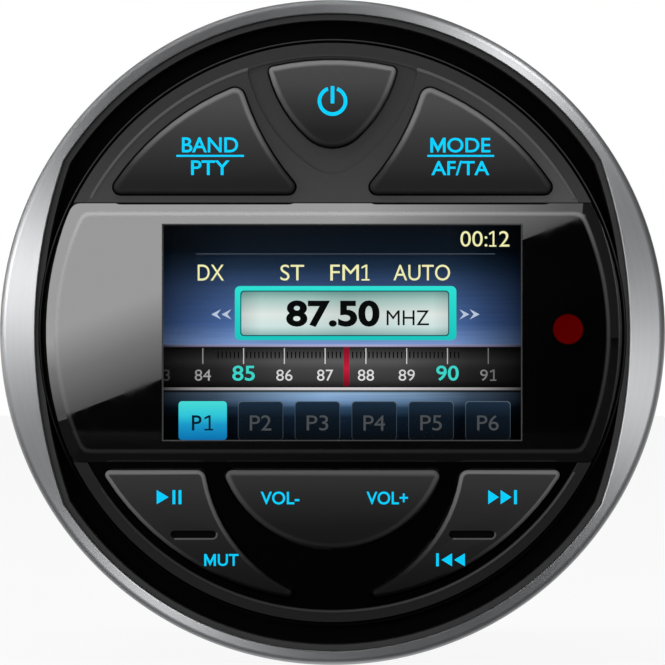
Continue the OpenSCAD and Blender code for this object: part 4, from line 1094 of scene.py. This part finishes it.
# painted shade: flat dark crosses on the rear screw heads stand in for their cross recesses
cross = {"radius": 41.4, "angle": 20, "arm": 1.1, "half": 0.27, "lift": 0.02}
arm, half, z = cross["arm"], cross["half"], backOf("rear_screws") - cross["lift"]
bm = bmesh.new()
for turn in (cross["angle"], 180 - cross["angle"], 180 + cross["angle"], -cross["angle"]):
    x, y = (cross["radius"] * part for part in spokeOf(turn))
    tile(bm, x - arm, y - half, x + arm, y + half, z)
    tile(bm, x - half, y + half, x + half, y + arm, z)
    tile(bm, x - half, y - arm, x + half, y - half, z)
printed(bm, "screw_recess_painted_shade", "housing", finishes["dark_pin"], facing=-1)
print("rear made")

# studio: pale floor and backdrop, soft lamps, camera
studio = {"floor": -60.3, "size": 6.0, "floorShare": 0.92, "backdropY": 3.0,
          "paper": [(0.3, 0.86), (0.7, 0.9)], "world": 0.1,
          "cameraPlane": 12.8, "distance": 1000.0, "lens": 300.0, "sensor": 36.0, "clip": 50}


def paleStage(name, share):
    material, surface = bareMaterial(name)
    place, _ = objectPlace(material)
    paper = greyRamp(material, noise(material, place, scale=3, detail=2), studio["paper"])
    matte = add(material, "BsdfDiffuse", {"Color": paper}).outputs["BSDF"]
    glow = add(material, "Emission", {"Strength": 1.0}).outputs["Emission"]
    path = add(material, "LightPath").outputs
    seen = reckon(material, "MAXIMUM", path["Is Camera Ray"], path["Is Glossy Ray"])
    seen = reckon(material, "MAXIMUM", seen, path["Is Transmission Ray"])
    seen = reckon(material, "MULTIPLY", seen, share)
    join(material, add(material, "MixShader", {0: seen, 1: matte, 2: glow}).outputs["Shader"], surface)
    return material


def stagePlane(name, matrix, size, material):
    bm = bmesh.new()
    bmesh.ops.create_grid(bm, x_segments=1, y_segments=1, size=size / 2, matrix=matrix)
    plane = meshObject(bm, name, material)
    return plane


floorPlace = Matrix.Translation((0, 0, studio["floor"] * mm))
backdropPlace = Matrix.Translation((0, studio["backdropY"], 0)) @ upright
stagePlane("floor", floorPlace, studio["size"], paleStage("floor", studio["floorShare"]))
stagePlane("backdrop", backdropPlace, studio["size"], paleStage("backdrop", 1.0))

world = bpy.data.worlds.new("studio")
scene.world = world
world.use_nodes = True
world.node_tree.nodes["Background"].inputs["Color"].default_value = grey(1.0)
world.node_tree.nodes["Background"].inputs["Strength"].default_value = studio["world"]

# dark cloth laid in front, which keeps the floor out of the gloss and the silver
cloth = {"size": 6.4, "near": -0.0142, "far": -1.0, "lift": 0.1, "nearColor": "4c4c4c", "farColor": "0c0c0c",
         "curtain": 1.2, "curtainY": -2.46}
nearFinish = grained("dark_cloth", cloth["nearColor"], 0.9, 1.0, grain=400, bump=0)
farFinish = grained("black_cloth", cloth["farColor"], 0.9, 1.0, grain=400, bump=0)
half, lift = cloth["size"] / 2, cloth["lift"]
nearPlace = Matrix.Translation((0, cloth["near"] - half, (studio["floor"] + lift) * mm))
farPlace = Matrix.Translation((0, cloth["far"] - half, (studio["floor"] + 2 * lift) * mm))
curtainPlace = Matrix.Translation((0, cloth["curtainY"], 0)) @ upright
for dark in (stagePlane("near_cloth", nearPlace, cloth["size"], nearFinish),
             stagePlane("far_cloth", farPlace, cloth["size"], farFinish),
             stagePlane("dark_curtain", curtainPlace, cloth["curtain"], farFinish)):
    dark.visible_camera = dark.visible_diffuse = dark.visible_shadow = dark.visible_transmission = False

# lamps by their place round the face and angle off the camera's line, with reach, length, width and watts
lamps = {
    "strip_left": (170, 25, 1.6, 0.9, 0.26, 6.0),
    "strip_right": (56, 25, 1.6, 0.9, 0.22, 5.5),
    "overhead": (95, 68, 1.6, 0.6, 0.9, 8.0),
    "side_left": (160, 70, 1.6, 0.6, 1.6, 11.0),
}
for name, (turn, off, reach, long, wide, watts) in lamps.items():
    light = bpy.data.lights.new(name, "AREA")
    light.shape = "RECTANGLE"
    light.size, light.size_y, light.energy = long, wide, watts
    lamp = bpy.data.objects.new(name, light)
    c, s = spokeOf(turn)
    spoke, front = Vector((c, 0, s)), Vector((0, -1, 0))
    c, s = spokeOf(off)
    back, length = front * c + spoke * s, spoke * c - front * s
    turned = Matrix((length, back.cross(length), back)).transposed().to_4x4()
    lamp.matrix_world = Matrix.Translation(back * reach) @ turned
    scene.collection.objects.link(lamp)
    lamp.visible_camera = False
    lamp.visible_glossy = name.startswith("strip")

# lit card behind the camera, whose mirror image is the glare on the lens
glare = {"reach": 2.4, "corners": [(-54, -17.3), (46.5, 21.4), (46.5, 23.6), (-54, 23.6)], "strength": 3.92,
         "fade": 15.9, "tones": [(0.0, 0.22), (0.5, 0.52), (1.0, 1.0)]}


def litCard(bm, name, strength, measure, limits, stops):
    # glows by its own light, which changes along one measure of the card
    material, surface = bareMaterial(name)
    _, axes = objectPlace(material)
    tone = greyRamp(material, spread(material, measure(material, axes), *limits), stops)
    glow = add(material, "Emission", {"Color": tone, "Strength": strength}).outputs["Emission"]
    join(material, glow, surface)
    card = meshObject(bm, name, material)
    card.visible_camera = card.visible_diffuse = card.visible_shadow = False


grow = (1 + glare["reach"] / (studio["distance"] * mm)) * mm
(x0, z0), (x1, z1) = glare["corners"][:2]
slope = (z1 - z0) / (x1 - x0)
edge = (z0 - slope * x0) * grow
cardY = -glare["reach"] - lensGloss["front"] * mm


def overEdge(material, axes):
    return reckon(material, "MULTIPLY_ADD", axes["X"], -slope, axes["Z"])


bm = bmesh.new()
bm.faces.new([bm.verts.new((x * grow, cardY, z * grow)) for x, z in glare["corners"]])
litCard(bm, "glare_card", glare["strength"], overEdge, (edge, edge + glare["fade"] * grow), glare["tones"])

# lit bow round the upper left, for the bevel of the lens
bow = {"reach": 200, "off": (71, 79), "from": 74, "to": 198, "strength": 3.8,
       "tones": [(75.1, 0.27), (88.4, 1.0), (182, 1.0), (188, 0.5), (196.5, 0.2)]}
bowFrom, bowSpan = bow["from"], bow["to"] - bow["from"]


def roundFromTop(material, axes):
    left = reckon(material, "MULTIPLY", axes["X"], -1.0)
    return reckon(material, "ARCTAN2", left, axes["Z"])


bm = bmesh.new()
ends = [spokeOf(off) for off in bow["off"]]
sweep(bm, [(bow["reach"] * s, lensGloss["front"] + bow["reach"] * c) for c, s in ends], turn=bowSpan,
      start=bowFrom, steps=48)
bmesh.ops.transform(bm, matrix=stand, verts=bm.verts)
litCard(bm, "bow_card", bow["strength"], roundFromTop,
        [math.radians(bow[key] - 90) for key in ("from", "to")],
        [((turn - bowFrom) / bowSpan, share) for turn, share in bow["tones"]])

view = bpy.data.cameras.new("camera")
view.lens = studio["lens"]
view.sensor_width = studio["sensor"]
view.clip_end = studio["clip"]
camera = bpy.data.objects.new("camera", view)
camera.location = (0, -(studio["cameraPlane"] + studio["distance"]) * mm, 0)
camera.rotation_euler = (math.radians(90), 0, 0)
scene.collection.objects.link(camera)
scene.camera = camera
scene.view_settings.view_transform = "Standard"

print("stage ready")
